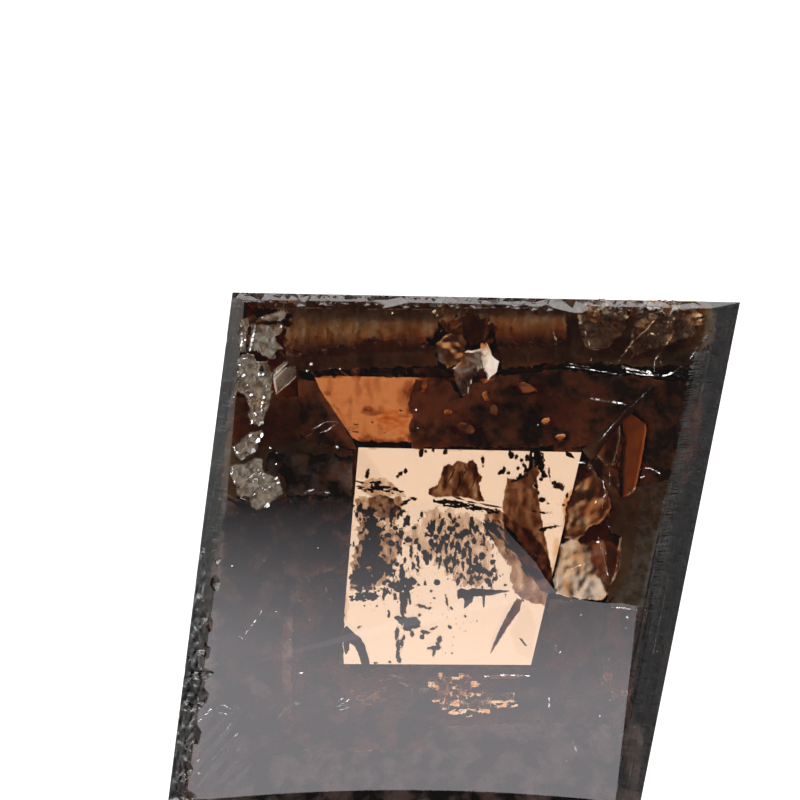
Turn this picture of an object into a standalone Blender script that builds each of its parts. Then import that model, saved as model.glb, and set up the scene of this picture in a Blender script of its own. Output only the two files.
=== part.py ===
"""A loose natural brown diamond, step cut to a leaning four-sided outline.

One crystal, so one closed solid named "stone". It lies on its culet facet,
table up. The origin is under the middle of its outline, on the plane of the
culet; +X is the long way of the stone and +Y its broad end.

Sizes below are in millimetres and degrees. The solid is made as a cutter
makes it: a block is ground flat along one plane after another, and the chips
are then broken out of its edges. The finished mesh is in metres.
"""

import math
import random

import bmesh
import bpy
from mathutils import Vector

# ---------------------------------------------------------------- outline
# Corners of the girdle outline and of the culet facet, seen from above.
GIRDLE_BACK_LEFT = (-3.045, 3.615)
GIRDLE_BACK_RIGHT = (3.955, 3.480)
GIRDLE_FRONT_RIGHT = (2.535, -3.615)
GIRDLE_FRONT_LEFT = (-3.955, -3.575)

CULET_BACK_LEFT = (-1.321, 1.447)
CULET_BACK_RIGHT = (1.792, 1.378)
CULET_FRONT_RIGHT = (1.093, -1.569)
CULET_FRONT_LEFT = (-1.573, -1.555)

# ---------------------------------------------------------------- heights
DEPTH = 2.285            # culet to table
GIRDLE_BOTTOM = 1.870    # the pavilion meets the girdle here

# ---------------------------------------------------------------- pavilion
# Inner pavilion step: slope and width in plan, for back, right, front, left.
# The outer step takes up what is left between it and the girdle.
INNER_SLOPE = (30.0, 40.0, 36.0, 37.5)
INNER_WIDTH = (1.004, 0.855, 0.990, 0.955)

# ---------------------------------------------------------------- table
# The back part of the table was cut as a second, slightly tilted plane. The
# two planes meet along this line across the stone.
TABLE_BREAK_LEFT = (-3.444, 0.756)
TABLE_BREAK_RIGHT = (3.252, -1.100)
TABLE_TILT = 1.0

# ---------------------------------------------------------------- crown
# The bevels are shallow and not quite parallel to the outline. Each is given
# by its width in plan, where it meets the table, at its two ends.
LEFT_BEVEL_WIDTH = (0.247, 0.316)         # front end, back end
LEFT_BEVEL_SLOPE = 20.0
RIGHT_INNER_WIDTH = (0.963, 0.330)        # back end, front end, before the tilt
RIGHT_INNER_SLOPE = 8.0
RIGHT_OUTER_DROP = (0.172, 0.085)         # below the table, at the girdle
RIGHT_OUTER_SLOPE = 14.0
FRONT_BEVEL_WIDTH = (0.220, 0.220)
FRONT_BEVEL_SLOPE = 17.5
BACK_BEVEL_WIDTH = (0.096, 0.096)
BACK_BEVEL_SLOPE = 45.0

# ---------------------------------------------------------------- chips
CHIP_SEED = 11
BACK_CHIP_GAP = (0.10, 0.62)      # from one chip of the back edge to the next
BACK_CHIP_RADIUS = (0.13, 0.46)
BACK_CHIP_BITE = (0.030, 0.095)
BACK_CHIP_ENDS = (0.30, 6.70)     # the corners themselves stay sharp
LEFT_CHIP_GAP = (0.12, 0.50)      # along the inner line of the left bevel
LEFT_CHIP_RADIUS = (0.16, 0.42)
LEFT_CHIP_BITE = (0.012, 0.040)
LEFT_CHIP_ENDS = (3.70, 6.90)     # only its front half is broken

MM = 0.001
BLOCK = 14.0             # rough block the stone is ground from


def outward(a, b):
    """Unit normal, pointing out, of the outline side from a to b."""
    side = Vector((b[0] - a[0], b[1] - a[1]))
    return Vector((-side.y, side.x)).normalized()


def lean(flat, degrees, up):
    """A facet normal: leaning out along flat, sloped from the horizontal."""
    t = math.radians(degrees)
    return Vector(
        (flat.x * math.sin(t), flat.y * math.sin(t), math.cos(t) * (1 if up else -1))
    )


def grind(bm, point, normal):
    """Take away everything on the normal's side of a plane, and cap it."""
    cut = bmesh.ops.bisect_plane(
        bm,
        geom=bm.verts[:] + bm.edges[:] + bm.faces[:],
        dist=1e-6,
        plane_co=Vector(point),
        plane_no=Vector(normal).normalized(),
        clear_outer=True,
    )
    rim = [g for g in cut["geom_cut"] if isinstance(g, bmesh.types.BMEdge)]
    bmesh.ops.edgeloop_fill(bm, edges=rim)


def table_height(x, y):
    """Height of the tilted back part of the table, carried on over (x, y)."""
    back = outward(TABLE_BREAK_LEFT, TABLE_BREAK_RIGHT)
    away = (Vector((x, y)) - Vector(TABLE_BREAK_LEFT)).dot(back)
    return DEPTH - away * math.tan(math.radians(TABLE_TILT))


def grind_bevel(bm, a, b, widths, heights, slope):
    """Grind a crown bevel along the outline side from a to b.

    Its plane goes through a point widths[0] in from a and one widths[1] in
    from b, at the given heights, and falls outward at slope degrees.
    """
    out = outward(a, b)
    start = Vector((*(Vector(a) - out * widths[0]), heights[0]))
    end = Vector((*(Vector(b) - out * widths[1]), heights[1]))
    fall = Vector((out.x, out.y, -math.tan(math.radians(slope))))
    normal = (end - start).cross(fall)
    if normal.z < 0:
        normal.negate()
    grind(bm, start, normal)


def cut_stone():
    girdle = (
        GIRDLE_BACK_LEFT,
        GIRDLE_BACK_RIGHT,
        GIRDLE_FRONT_RIGHT,
        GIRDLE_FRONT_LEFT,
    )
    culet = (CULET_BACK_LEFT, CULET_BACK_RIGHT, CULET_FRONT_RIGHT, CULET_FRONT_LEFT)

    bm = bmesh.new()
    bmesh.ops.create_cube(bm, size=BLOCK)
    grind(bm, (0, 0, 0), (0, 0, -1))
    grind(bm, (0, 0, DEPTH), (0, 0, 1))

    for i in range(4):
        g0, g1 = girdle[i], girdle[(i + 1) % 4]
        c0, c1 = culet[i], culet[(i + 1) % 4]
        girdle_out, culet_out = outward(g0, g1), outward(c0, c1)

        # girdle, an upright band
        grind(bm, (*g0, 0), (*girdle_out, 0))

        # inner pavilion step, off the culet's edge
        grind(bm, (*c0, 0), lean(culet_out, INNER_SLOPE[i], up=False))

        # outer pavilion step, from the end of the inner one to the girdle
        step_height = INNER_WIDTH[i] * math.tan(math.radians(INNER_SLOPE[i]))
        middle = (Vector(g0) + Vector(g1) - Vector(c0) - Vector(c1)) / 2
        outer_width = middle.dot(girdle_out) - INNER_WIDTH[i]
        outer_slope = math.degrees(
            math.atan2(GIRDLE_BOTTOM - step_height, outer_width)
        )
        grind(bm, (*g0, GIRDLE_BOTTOM), lean(girdle_out, outer_slope, up=False))

    # the tilted back part of the table
    tilted = outward(TABLE_BREAK_LEFT, TABLE_BREAK_RIGHT)
    grind(bm, (*TABLE_BREAK_LEFT, DEPTH), lean(tilted, TABLE_TILT, up=True))

    # crown bevels
    flat = (DEPTH, DEPTH)
    back_out = outward(GIRDLE_BACK_LEFT, GIRDLE_BACK_RIGHT)
    back_heights = [
        table_height(*(Vector(corner) - back_out * width))
        for corner, width in zip((GIRDLE_BACK_LEFT, GIRDLE_BACK_RIGHT), BACK_BEVEL_WIDTH)
    ]
    grind_bevel(bm, GIRDLE_BACK_LEFT, GIRDLE_BACK_RIGHT, BACK_BEVEL_WIDTH,
                back_heights, BACK_BEVEL_SLOPE)
    grind_bevel(bm, GIRDLE_BACK_RIGHT, GIRDLE_FRONT_RIGHT, RIGHT_INNER_WIDTH,
                flat, RIGHT_INNER_SLOPE)
    grind_bevel(bm, GIRDLE_BACK_RIGHT, GIRDLE_FRONT_RIGHT, (0.0, 0.0),
                [DEPTH - drop for drop in RIGHT_OUTER_DROP], RIGHT_OUTER_SLOPE)
    grind_bevel(bm, GIRDLE_FRONT_RIGHT, GIRDLE_FRONT_LEFT, FRONT_BEVEL_WIDTH,
                flat, FRONT_BEVEL_SLOPE)
    grind_bevel(bm, GIRDLE_FRONT_LEFT, GIRDLE_BACK_LEFT, LEFT_BEVEL_WIDTH,
                flat, LEFT_BEVEL_SLOPE)

    bmesh.ops.remove_doubles(bm, verts=bm.verts, dist=1e-4)
    bmesh.ops.recalc_face_normals(bm, faces=bm.faces)
    return bm


def chip(bm, centre, radius, along, rng):
    """A shell-shaped break: an uneven ball that the stone will lose."""
    fine = 3 if radius > 0.24 else 2
    ball = bmesh.ops.create_icosphere(bm, subdivisions=fine, radius=1.0)["verts"]
    across = Vector((-along.y, along.x, 0.0))
    long, wide, tall = rng.uniform(1.0, 1.9), rng.uniform(0.75, 1.0), rng.uniform(0.75, 1.0)
    ridge = Vector((rng.uniform(-1, 1), rng.uniform(-1, 1), rng.uniform(-1, 1)))
    phase = rng.uniform(0.0, 6.0)
    for v in ball:
        bulge = 1.0 + 0.07 * math.sin(4.0 * v.co.dot(ridge) + phase)
        bulge += 0.03 * math.sin(9.0 * v.co.dot(ridge.yzx) + phase)
        v.co = centre + radius * bulge * (
            along * v.co.x * long + across * v.co.y * wide + Vector((0, 0, v.co.z * tall))
        )


def chip_row(bm, start, end, span, gaps, radii, bites, place, rng):
    """Chips of mixed size, unevenly spaced along the line start to end."""
    along = (end - start).normalized().to_3d()
    at = span[0]
    while at < span[1]:
        radius = radii[0] + (radii[1] - radii[0]) * rng.random() ** 2
        bite = rng.uniform(*bites)
        point = start + (end - start).normalized() * at
        chip(bm, place(point, radius, bite), radius, along, rng)
        at += radius * 0.9 + rng.uniform(*gaps)


def chip_cutter():
    """All the chips of the edges, as balls in one mesh."""
    rng = random.Random(CHIP_SEED)
    bm = bmesh.new()

    # back edge: the balls hang above and outside the line of bevel and girdle
    a, b = Vector(GIRDLE_BACK_LEFT), Vector(GIRDLE_BACK_RIGHT)
    out = outward(a, b)

    def over_back_edge(point, radius, bite):
        reach = radius * 0.85 - bite
        edge_z = table_height(point.x, point.y) - 0.5 * BACK_BEVEL_WIDTH[0]
        return Vector((
            point.x + out.x * (reach * 0.62 - 0.03),
            point.y + out.y * (reach * 0.62 - 0.03),
            edge_z + reach * 0.78,
        ))

    chip_row(bm, a, b, BACK_CHIP_ENDS, BACK_CHIP_GAP, BACK_CHIP_RADIUS,
             BACK_CHIP_BITE, over_back_edge, rng)

    # left bevel: shallow bites out of its inner line, in the front half
    a, b = Vector(GIRDLE_BACK_LEFT), Vector(GIRDLE_FRONT_LEFT)
    inset = outward(a, b) * LEFT_BEVEL_WIDTH[0]

    def over_left_bevel(point, radius, bite):
        return Vector((
            point.x + inset.x, point.y + inset.y, DEPTH + radius * 0.85 - bite
        ))

    chip_row(bm, a, b, LEFT_CHIP_ENDS, LEFT_CHIP_GAP, LEFT_CHIP_RADIUS,
             LEFT_CHIP_BITE, over_left_bevel, rng)

    bmesh.ops.recalc_face_normals(bm, faces=bm.faces)
    return bm


def new_object(name, bm):
    mesh = bpy.data.meshes.new(name)
    bm.to_mesh(mesh)
    bm.free()
    obj = bpy.data.objects.new(name, mesh)
    bpy.context.scene.collection.objects.link(obj)
    return obj


def diamond_material():
    material = bpy.data.materials.new("brown_diamond")
    material.use_nodes = True
    shader = material.node_tree.nodes["Principled BSDF"]
    shader.inputs["Base Color"].default_value = (0.84, 0.58, 0.42, 1.0)
    shader.inputs["Roughness"].default_value = 0.02
    shader.inputs["Metallic"].default_value = 0.0
    shader.inputs["IOR"].default_value = 2.417
    shader.inputs["Transmission Weight"].default_value = 1.0
    return material


def main():
    for obj in list(bpy.data.objects):
        bpy.data.objects.remove(obj, do_unlink=True)

    blank = new_object("stone_blank", cut_stone())
    cutter = new_object("chip_cutter", chip_cutter())
    cutter.hide_render = True
    cutter.display_type = "WIRE"

    bite = blank.modifiers.new("chips", "BOOLEAN")
    bite.operation = "DIFFERENCE"
    bite.solver = "EXACT"
    bite.use_self = True
    bite.object = cutter

    bpy.context.view_layer.update()
    graph = bpy.context.evaluated_depsgraph_get()
    bm = bmesh.new()
    bm.from_object(blank, graph)
    bpy.data.objects.remove(blank, do_unlink=True)
    bpy.data.objects.remove(cutter, do_unlink=True)

    # drop the hair-thin triangles the cuts leave, then go from mm to metres
    bmesh.ops.remove_doubles(bm, verts=bm.verts, dist=0.002)
    bmesh.ops.dissolve_degenerate(bm, edges=bm.edges, dist=0.001)
    bmesh.ops.triangulate(bm, faces=bm.faces)
    bmesh.ops.scale(bm, vec=(MM, MM, MM), verts=bm.verts)

    stone = new_object("stone", bm)
    stone.data.materials.append(diamond_material())


main()
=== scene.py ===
"""Looks of the loose brown diamond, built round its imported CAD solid.

Positions on the stone are written as the photograph's pixels, 800 x 800, and
turned into millimetres of the row frame by px(). Everything is modelled in
millimetres and scaled to metres when an object is made.
"""

import math
import random

import bmesh
import bpy
import numpy as np
from mathutils import Matrix, Vector, noise


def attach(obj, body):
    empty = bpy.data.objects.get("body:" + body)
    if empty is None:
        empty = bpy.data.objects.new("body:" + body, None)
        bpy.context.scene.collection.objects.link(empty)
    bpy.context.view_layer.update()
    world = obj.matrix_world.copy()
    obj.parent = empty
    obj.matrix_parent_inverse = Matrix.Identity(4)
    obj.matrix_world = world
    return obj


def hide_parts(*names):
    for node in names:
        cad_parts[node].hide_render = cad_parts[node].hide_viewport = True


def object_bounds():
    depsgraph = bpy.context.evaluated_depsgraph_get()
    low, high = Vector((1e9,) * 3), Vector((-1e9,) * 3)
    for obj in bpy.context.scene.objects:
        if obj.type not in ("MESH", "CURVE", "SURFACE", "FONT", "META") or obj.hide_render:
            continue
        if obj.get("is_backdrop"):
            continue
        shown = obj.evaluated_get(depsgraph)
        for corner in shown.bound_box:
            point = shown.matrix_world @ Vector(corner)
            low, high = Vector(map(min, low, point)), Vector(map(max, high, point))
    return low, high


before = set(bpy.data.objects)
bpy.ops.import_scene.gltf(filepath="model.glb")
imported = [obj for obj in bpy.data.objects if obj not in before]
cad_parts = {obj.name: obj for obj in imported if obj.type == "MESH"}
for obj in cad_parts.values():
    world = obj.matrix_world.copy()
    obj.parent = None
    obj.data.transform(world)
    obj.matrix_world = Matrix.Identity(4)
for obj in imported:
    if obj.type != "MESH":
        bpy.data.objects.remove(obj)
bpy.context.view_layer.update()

# ------------------------------------------------------------------ frame
MM = 0.001
PX = 0.01375            # millimetres to a pixel of the photograph
MID = (453.5, 555.0)    # pixel over the row frame's origin
EYE = (400.0, 400.0)    # pixel straight under the camera
DEPTH = 2.285
EYE_HEIGHT = 11.0 / (36.0 / 200.0)      # camera over the table, in mm
IOR = 2.417

# the same driving sizes as the solid's
GIRDLE = ((-3.045, 3.615), (3.955, 3.480), (2.535, -3.615), (-3.955, -3.575))
CULET = ((-1.321, 1.447), (1.792, 1.378), (1.093, -1.569), (-1.573, -1.555))
GIRDLE_BOTTOM = 1.870
INNER_SLOPE = (30.0, 40.0, 36.0, 37.5)
INNER_WIDTH = (1.004, 0.855, 0.990, 0.955)
BREAK_LEFT, BREAK_RIGHT, TABLE_TILT = (-3.444, 0.756), (3.252, -1.100), 1.0
LEFT_BEVEL = ((0.247, 0.316), 20.0)
RIGHT_INNER = ((0.963, 0.330), 8.0)
RIGHT_OUTER = ((0.172, 0.085), 14.0)
FRONT_BEVEL = ((0.220, 0.220), 17.5)
BACK_BEVEL = ((0.096, 0.096), 45.0)


def px(x, y, depth=None, z=None):
    """A pixel of the photograph as a point in the stone, in mm.

    depth is below the table. A point inside is moved out a little, because
    the stone's refraction draws it towards the middle of the view.
    """
    down = depth if depth is not None else (DEPTH - z if z is not None else 0.0)
    grow = 1.0 + down / (EYE_HEIGHT * IOR)
    x, y = EYE[0] + (x - EYE[0]) * grow, EYE[1] + (y - EYE[1]) * grow
    return Vector(((x - MID[0]) * PX, (MID[1] - y) * PX, DEPTH - down))


# ------------------------------------------------------------------ solids
def outward(a, b):
    side = Vector((b[0] - a[0], b[1] - a[1]))
    return Vector((-side.y, side.x)).normalized()


def lean(flat, degrees, up):
    t = math.radians(degrees)
    return Vector(
        (flat.x * math.sin(t), flat.y * math.sin(t), math.cos(t) * (1 if up else -1))
    )


def grind(bm, point, normal):
    cut = bmesh.ops.bisect_plane(
        bm,
        geom=bm.verts[:] + bm.edges[:] + bm.faces[:],
        dist=1e-6,
        plane_co=Vector(point),
        plane_no=Vector(normal).normalized(),
        clear_outer=True,
    )
    rim = [g for g in cut["geom_cut"] if isinstance(g, bmesh.types.BMEdge)]
    bmesh.ops.edgeloop_fill(bm, edges=rim)


TILTED = outward(BREAK_LEFT, BREAK_RIGHT)


def table_height(x, y):
    """Height of the tilted back part of the table over (x, y)."""
    away = (Vector((x, y)) - Vector(BREAK_LEFT)).dot(TILTED)
    return DEPTH - away * math.tan(math.radians(TABLE_TILT))


def top(x, y):
    """Height of the table surface over (x, y), either part."""
    return min(DEPTH, table_height(x, y))


def grind_bevel(bm, a, b, widths, heights, slope):
    out = outward(a, b)
    start = Vector((*(Vector(a) - out * widths[0]), heights[0]))
    end = Vector((*(Vector(b) - out * widths[1]), heights[1]))
    fall = Vector((out.x, out.y, -math.tan(math.radians(slope))))
    normal = (end - start).cross(fall)
    if normal.z < 0:
        normal.negate()
    grind(bm, start, normal)


def polished_blank():
    """The stone before any damage: flat facets only, the table one plane."""
    bm = bmesh.new()
    bmesh.ops.create_cube(bm, size=14.0)
    grind(bm, (0, 0, 0), (0, 0, -1))
    grind(bm, (0, 0, DEPTH), (0, 0, 1))
    for i in range(4):
        g0, g1 = GIRDLE[i], GIRDLE[(i + 1) % 4]
        c0, c1 = CULET[i], CULET[(i + 1) % 4]
        g_out, c_out = outward(g0, g1), outward(c0, c1)
        grind(bm, (*g0, 0), (*g_out, 0))
        grind(bm, (*c0, 0), lean(c_out, INNER_SLOPE[i], up=False))
        step = INNER_WIDTH[i] * math.tan(math.radians(INNER_SLOPE[i]))
        middle = (Vector(g0) + Vector(g1) - Vector(c0) - Vector(c1)) / 2
        width = middle.dot(g_out) - INNER_WIDTH[i]
        slope = math.degrees(math.atan2(GIRDLE_BOTTOM - step, width))
        grind(bm, (*g0, GIRDLE_BOTTOM), lean(g_out, slope, up=False))
    flat = (DEPTH, DEPTH)
    back_out = outward(GIRDLE[0], GIRDLE[1])
    heights = [
        table_height(*(Vector(g) - back_out * w))
        for g, w in zip(GIRDLE[:2], BACK_BEVEL[0])
    ]
    grind_bevel(bm, GIRDLE[0], GIRDLE[1], BACK_BEVEL[0], heights, BACK_BEVEL[1])
    grind_bevel(bm, GIRDLE[1], GIRDLE[2], RIGHT_INNER[0], flat, RIGHT_INNER[1])
    drops = [DEPTH - d for d in RIGHT_OUTER[0]]
    grind_bevel(bm, GIRDLE[1], GIRDLE[2], (0, 0), drops, RIGHT_OUTER[1])
    grind_bevel(bm, GIRDLE[2], GIRDLE[3], FRONT_BEVEL[0], flat, FRONT_BEVEL[1])
    grind_bevel(bm, GIRDLE[3], GIRDLE[0], LEFT_BEVEL[0], flat, LEFT_BEVEL[1])
    bmesh.ops.remove_doubles(bm, verts=bm.verts, dist=1e-5)
    bmesh.ops.recalc_face_normals(bm, faces=bm.faces)
    return bm


def make(name, bm, materials, smooth=False):
    """A Blender object from a bmesh in millimetres."""
    bmesh.ops.scale(bm, vec=(MM, MM, MM), verts=bm.verts)
    mesh = bpy.data.meshes.new(name)
    bm.to_mesh(mesh)
    bm.free()
    for p in mesh.polygons:
        p.use_smooth = smooth
    for m in materials:
        mesh.materials.append(m)
    obj = bpy.data.objects.new(name, mesh)
    bpy.context.scene.collection.objects.link(obj)
    return obj


def plain(name, bm):
    mesh = bpy.data.meshes.new(name)
    bm.to_mesh(mesh)
    bm.free()
    obj = bpy.data.objects.new(name, mesh)
    bpy.context.scene.collection.objects.link(obj)
    return obj


def carve(blank, cutter):
    """blank minus cutter, both bmeshes in mm; returns a new bmesh."""
    a, b = plain("blank", blank), plain("cutter", cutter)
    bite = a.modifiers.new("bite", "BOOLEAN")
    bite.operation, bite.solver, bite.use_self, bite.object = "DIFFERENCE", "EXACT", True, b
    bpy.context.view_layer.update()
    out = bmesh.new()
    out.from_object(a, bpy.context.evaluated_depsgraph_get())
    for o in (a, b):
        mesh = o.data
        bpy.data.objects.remove(o, do_unlink=True)
        bpy.data.meshes.remove(mesh)
    return out


# the crack across the table, left to right, in pixels
CRACK = (
    (150, 478), (196, 492), (203, 496), (215, 497), (222, 491), (230, 493), (238, 499), (247, 500),
    (256, 496), (268, 493), (285, 492), (300, 493.5), (318, 496), (334, 495),
    (350, 495), (368, 499), (385, 500), (402, 502), (420, 505), (436, 507),
    (450, 511), (466, 514), (480, 517), (492, 520), (503, 527), (515, 540),
    (526, 552), (536, 563), (545, 578), (556, 592), (572, 598), (588, 601),
    (604, 603), (622, 603), (640, 607), (662, 610), (684, 612), (720, 617), (800, 625),
)


def back_table_cutter():
    """What the second cut of the table took off, down to the crack."""
    line = [px(x, y) for x, y in CRACK]
    ring = line + [px(800, 240), px(150, 240)]
    bm = bmesh.new()
    low = [bm.verts.new((p.x, p.y, table_height(p.x, p.y))) for p in ring]
    high = [bm.verts.new((p.x, p.y, DEPTH + 1.0)) for p in ring]
    n = len(ring)
    for i in range(n):
        j = (i + 1) % n
        bm.faces.new((low[i], low[j], high[j], high[i]))
    bm.faces.new(high)
    bm.faces.new(low[::-1])
    bmesh.ops.recalc_face_normals(bm, faces=bm.faces)
    return bm


def lump(bm, centre, radius, along, rng, fine):
    """A shell-shaped break: an uneven ball that the stone will lose."""
    ball = bmesh.ops.create_icosphere(bm, subdivisions=fine, radius=1.0)["verts"]
    across = Vector((-along.y, along.x, 0.0))
    long, wide, tall = rng.uniform(1.0, 1.9), rng.uniform(0.75, 1.0), rng.uniform(0.75, 1.0)
    ridge = Vector((rng.uniform(-1, 1), rng.uniform(-1, 1), rng.uniform(-1, 1)))
    phase = rng.uniform(0.0, 6.0)
    for v in ball:
        bulge = 1.0 + 0.07 * math.sin(4.0 * v.co.dot(ridge) + phase)
        bulge += 0.03 * math.sin(9.0 * v.co.dot(ridge.yzx) + phase)
        v.co = centre + radius * bulge * (
            along * v.co.x * long + across * v.co.y * wide + Vector((0, 0, v.co.z * tall))
        )


def lump_row(bm, start, end, span, gaps, radii, bites, place, rng, fine):
    """Breaks of mixed size, unevenly spaced along the line start to end."""
    along = (end - start).normalized().to_3d()
    at = span[0]
    while at < span[1]:
        radius = radii[0] + (radii[1] - radii[0]) * rng.random() ** 2
        bite = rng.uniform(*bites)
        point = start + (end - start).normalized() * at
        lump(bm, place(point, radius, bite), radius, along, rng,
             fine + (1 if radius > 0.24 else 0))
        at += radius * 0.9 + rng.uniform(*gaps)


def over_back_edge(point, radius, bite):
    out = outward(GIRDLE[0], GIRDLE[1])
    reach = radius * 0.85 - bite
    edge_z = table_height(point.x, point.y) - 0.5 * BACK_BEVEL[0][0]
    return Vector((
        point.x + out.x * (reach * 0.62 - 0.03),
        point.y + out.y * (reach * 0.62 - 0.03),
        edge_z + reach * 0.78,
    ))


def over_left_bevel(point, radius, bite):
    inset = outward(GIRDLE[0], GIRDLE[3]) * LEFT_BEVEL[0][0]
    return Vector((
        point.x + inset.x, point.y + inset.y, DEPTH + radius * 0.85 - bite))


def big_breaks():
    """The same breaks as the solid's."""
    rng = random.Random(11)
    bm = bmesh.new()
    lump_row(bm, Vector(GIRDLE[0]), Vector(GIRDLE[1]), (0.30, 6.70), (0.10, 0.62),
             (0.13, 0.46), (0.030, 0.095), over_back_edge, rng, 2)
    lump_row(bm, Vector(GIRDLE[0]), Vector(GIRDLE[3]), (3.70, 6.90), (0.12, 0.50),
             (0.16, 0.42), (0.012, 0.040), over_left_bevel, rng, 2)
    bmesh.ops.recalc_face_normals(bm, faces=bm.faces)
    return bm


def small_breaks():
    """Nibbles too fine for the solid: along the back edge, the two sides and
    the rims of the bevels."""
    rng = random.Random(23)
    bm = bmesh.new()
    a, b = Vector(GIRDLE[0]), Vector(GIRDLE[1])
    lump_row(bm, a, b, (0.10, 6.2), (0.0, 0.09), (0.035, 0.13), (0.020, 0.060),
             over_back_edge, rng, 1)
    out = outward(GIRDLE[0], GIRDLE[1])

    def under_back_edge(point, radius, bite):
        top_z = table_height(point.x, point.y)
        return Vector((point.x, point.y, top_z)) + Vector((
            -out.x * (0.10 + bite), -out.y * (0.10 + bite), radius * 0.80 - bite * 0.6))

    lump_row(bm, a, b, (0.15, 6.0), (0.02, 0.22), (0.04, 0.12), (0.010, 0.040),
             under_back_edge, rng, 1)
    for i, j, span in ((3, 2, (0.2, 6.2)), (1, 2, (0.1, 7.0)), (0, 3, (0.1, 7.0))):
        a, b = Vector(GIRDLE[i]), Vector(GIRDLE[j])
        side = outward(GIRDLE[min(i, j)], GIRDLE[max(i, j)])
        if (i, j) == (0, 3):
            side = outward(GIRDLE[3], GIRDLE[0])

        def at_girdle(point, radius, bite, side=side):
            reach = radius * 0.85 - bite
            return Vector((point.x + side.x * reach, point.y + side.y * reach,
                           DEPTH - rng.uniform(0.09, 0.20) + reach * 0.3))

        lump_row(bm, a, b, span, (0.10, 0.9), (0.03, 0.11), (0.004, 0.022),
                 at_girdle, rng, 1)
    bmesh.ops.recalc_face_normals(bm, faces=bm.faces)
    return bm


# the ragged inner line of the left bevel, in pixels from the back down
RAGGED = (
    (548, 212.5), (560, 212), (580, 211.5), (600, 208), (612, 207.6), (618, 209.5),
    (628, 206), (637, 205), (650, 208), (657, 203), (667, 202), (672, 214.5), (680, 206),
    (688, 204), (694, 209.5), (703, 206), (712, 198), (725, 196.5), (740, 195),
    (752, 191), (762, 190), (770, 194), (777, 190), (783, 187), (790, 188), (796, 198),
    (803, 188), (812, 186), (818, 188),
)


def ragged_bevel():
    """Thin flakes off the left bevel's inner line, down to a rough floor."""
    bm = bmesh.new()
    rows = []
    y = RAGGED[0][0]
    while y <= RAGGED[-1][0]:
        i = max(k for k in range(len(RAGGED)) if RAGGED[k][0] <= y)
        k = min(i + 1, len(RAGGED) - 1)
        t = (y - RAGGED[i][0]) / max(1e-6, RAGGED[k][0] - RAGGED[i][0])
        inner = RAGGED[i][1] * (1 - t) + RAGGED[k][1] * t
        outer = 199.0 - (y - 548.0) * 0.1318
        low, high = [], []
        for s in range(9):
            x = inner + (outer - inner) * s / 8.0
            p = px(x, y)
            drop = 0.010 + 0.016 * s + 0.016 * noise.noise(Vector((x, y * 0.35, 3.0)) * 0.35)
            low.append(bm.verts.new((p.x, p.y, DEPTH - max(0.006, drop))))
            high.append(bm.verts.new((p.x, p.y, DEPTH + 0.5)))
        rows.append((low, high))
        y += 1.5
    for (a, b), (c, d) in zip(rows, rows[1:]):
        for s in range(8):
            bm.faces.new((a[s], a[s + 1], c[s + 1], c[s]))
            bm.faces.new((b[s], d[s], d[s + 1], b[s + 1]))
        bm.faces.new((a[0], c[0], d[0], b[0]))
        bm.faces.new((a[8], b[8], d[8], c[8]))
    for low, high in (rows[0], rows[-1]):
        for s in range(8):
            bm.faces.new((low[s], high[s], high[s + 1], low[s + 1]))
    bmesh.ops.triangulate(bm, faces=bm.faces[:])
    bmesh.ops.recalc_face_normals(bm, faces=bm.faces)
    return bm


body = polished_blank()
for cutter in (back_table_cutter, big_breaks, small_breaks, ragged_bevel):
    body = carve(body, cutter())
bmesh.ops.remove_doubles(body, verts=body.verts, dist=0.0015)
bmesh.ops.dissolve_degenerate(body, dist=0.0008, edges=body.edges)


# ------------------------------------------------------------------ materials
def new_material(name):
    m = bpy.data.materials.new(name)
    m.use_nodes = True
    nodes = m.node_tree.nodes
    return m, nodes, m.node_tree.links, nodes["Principled BSDF"]


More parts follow.
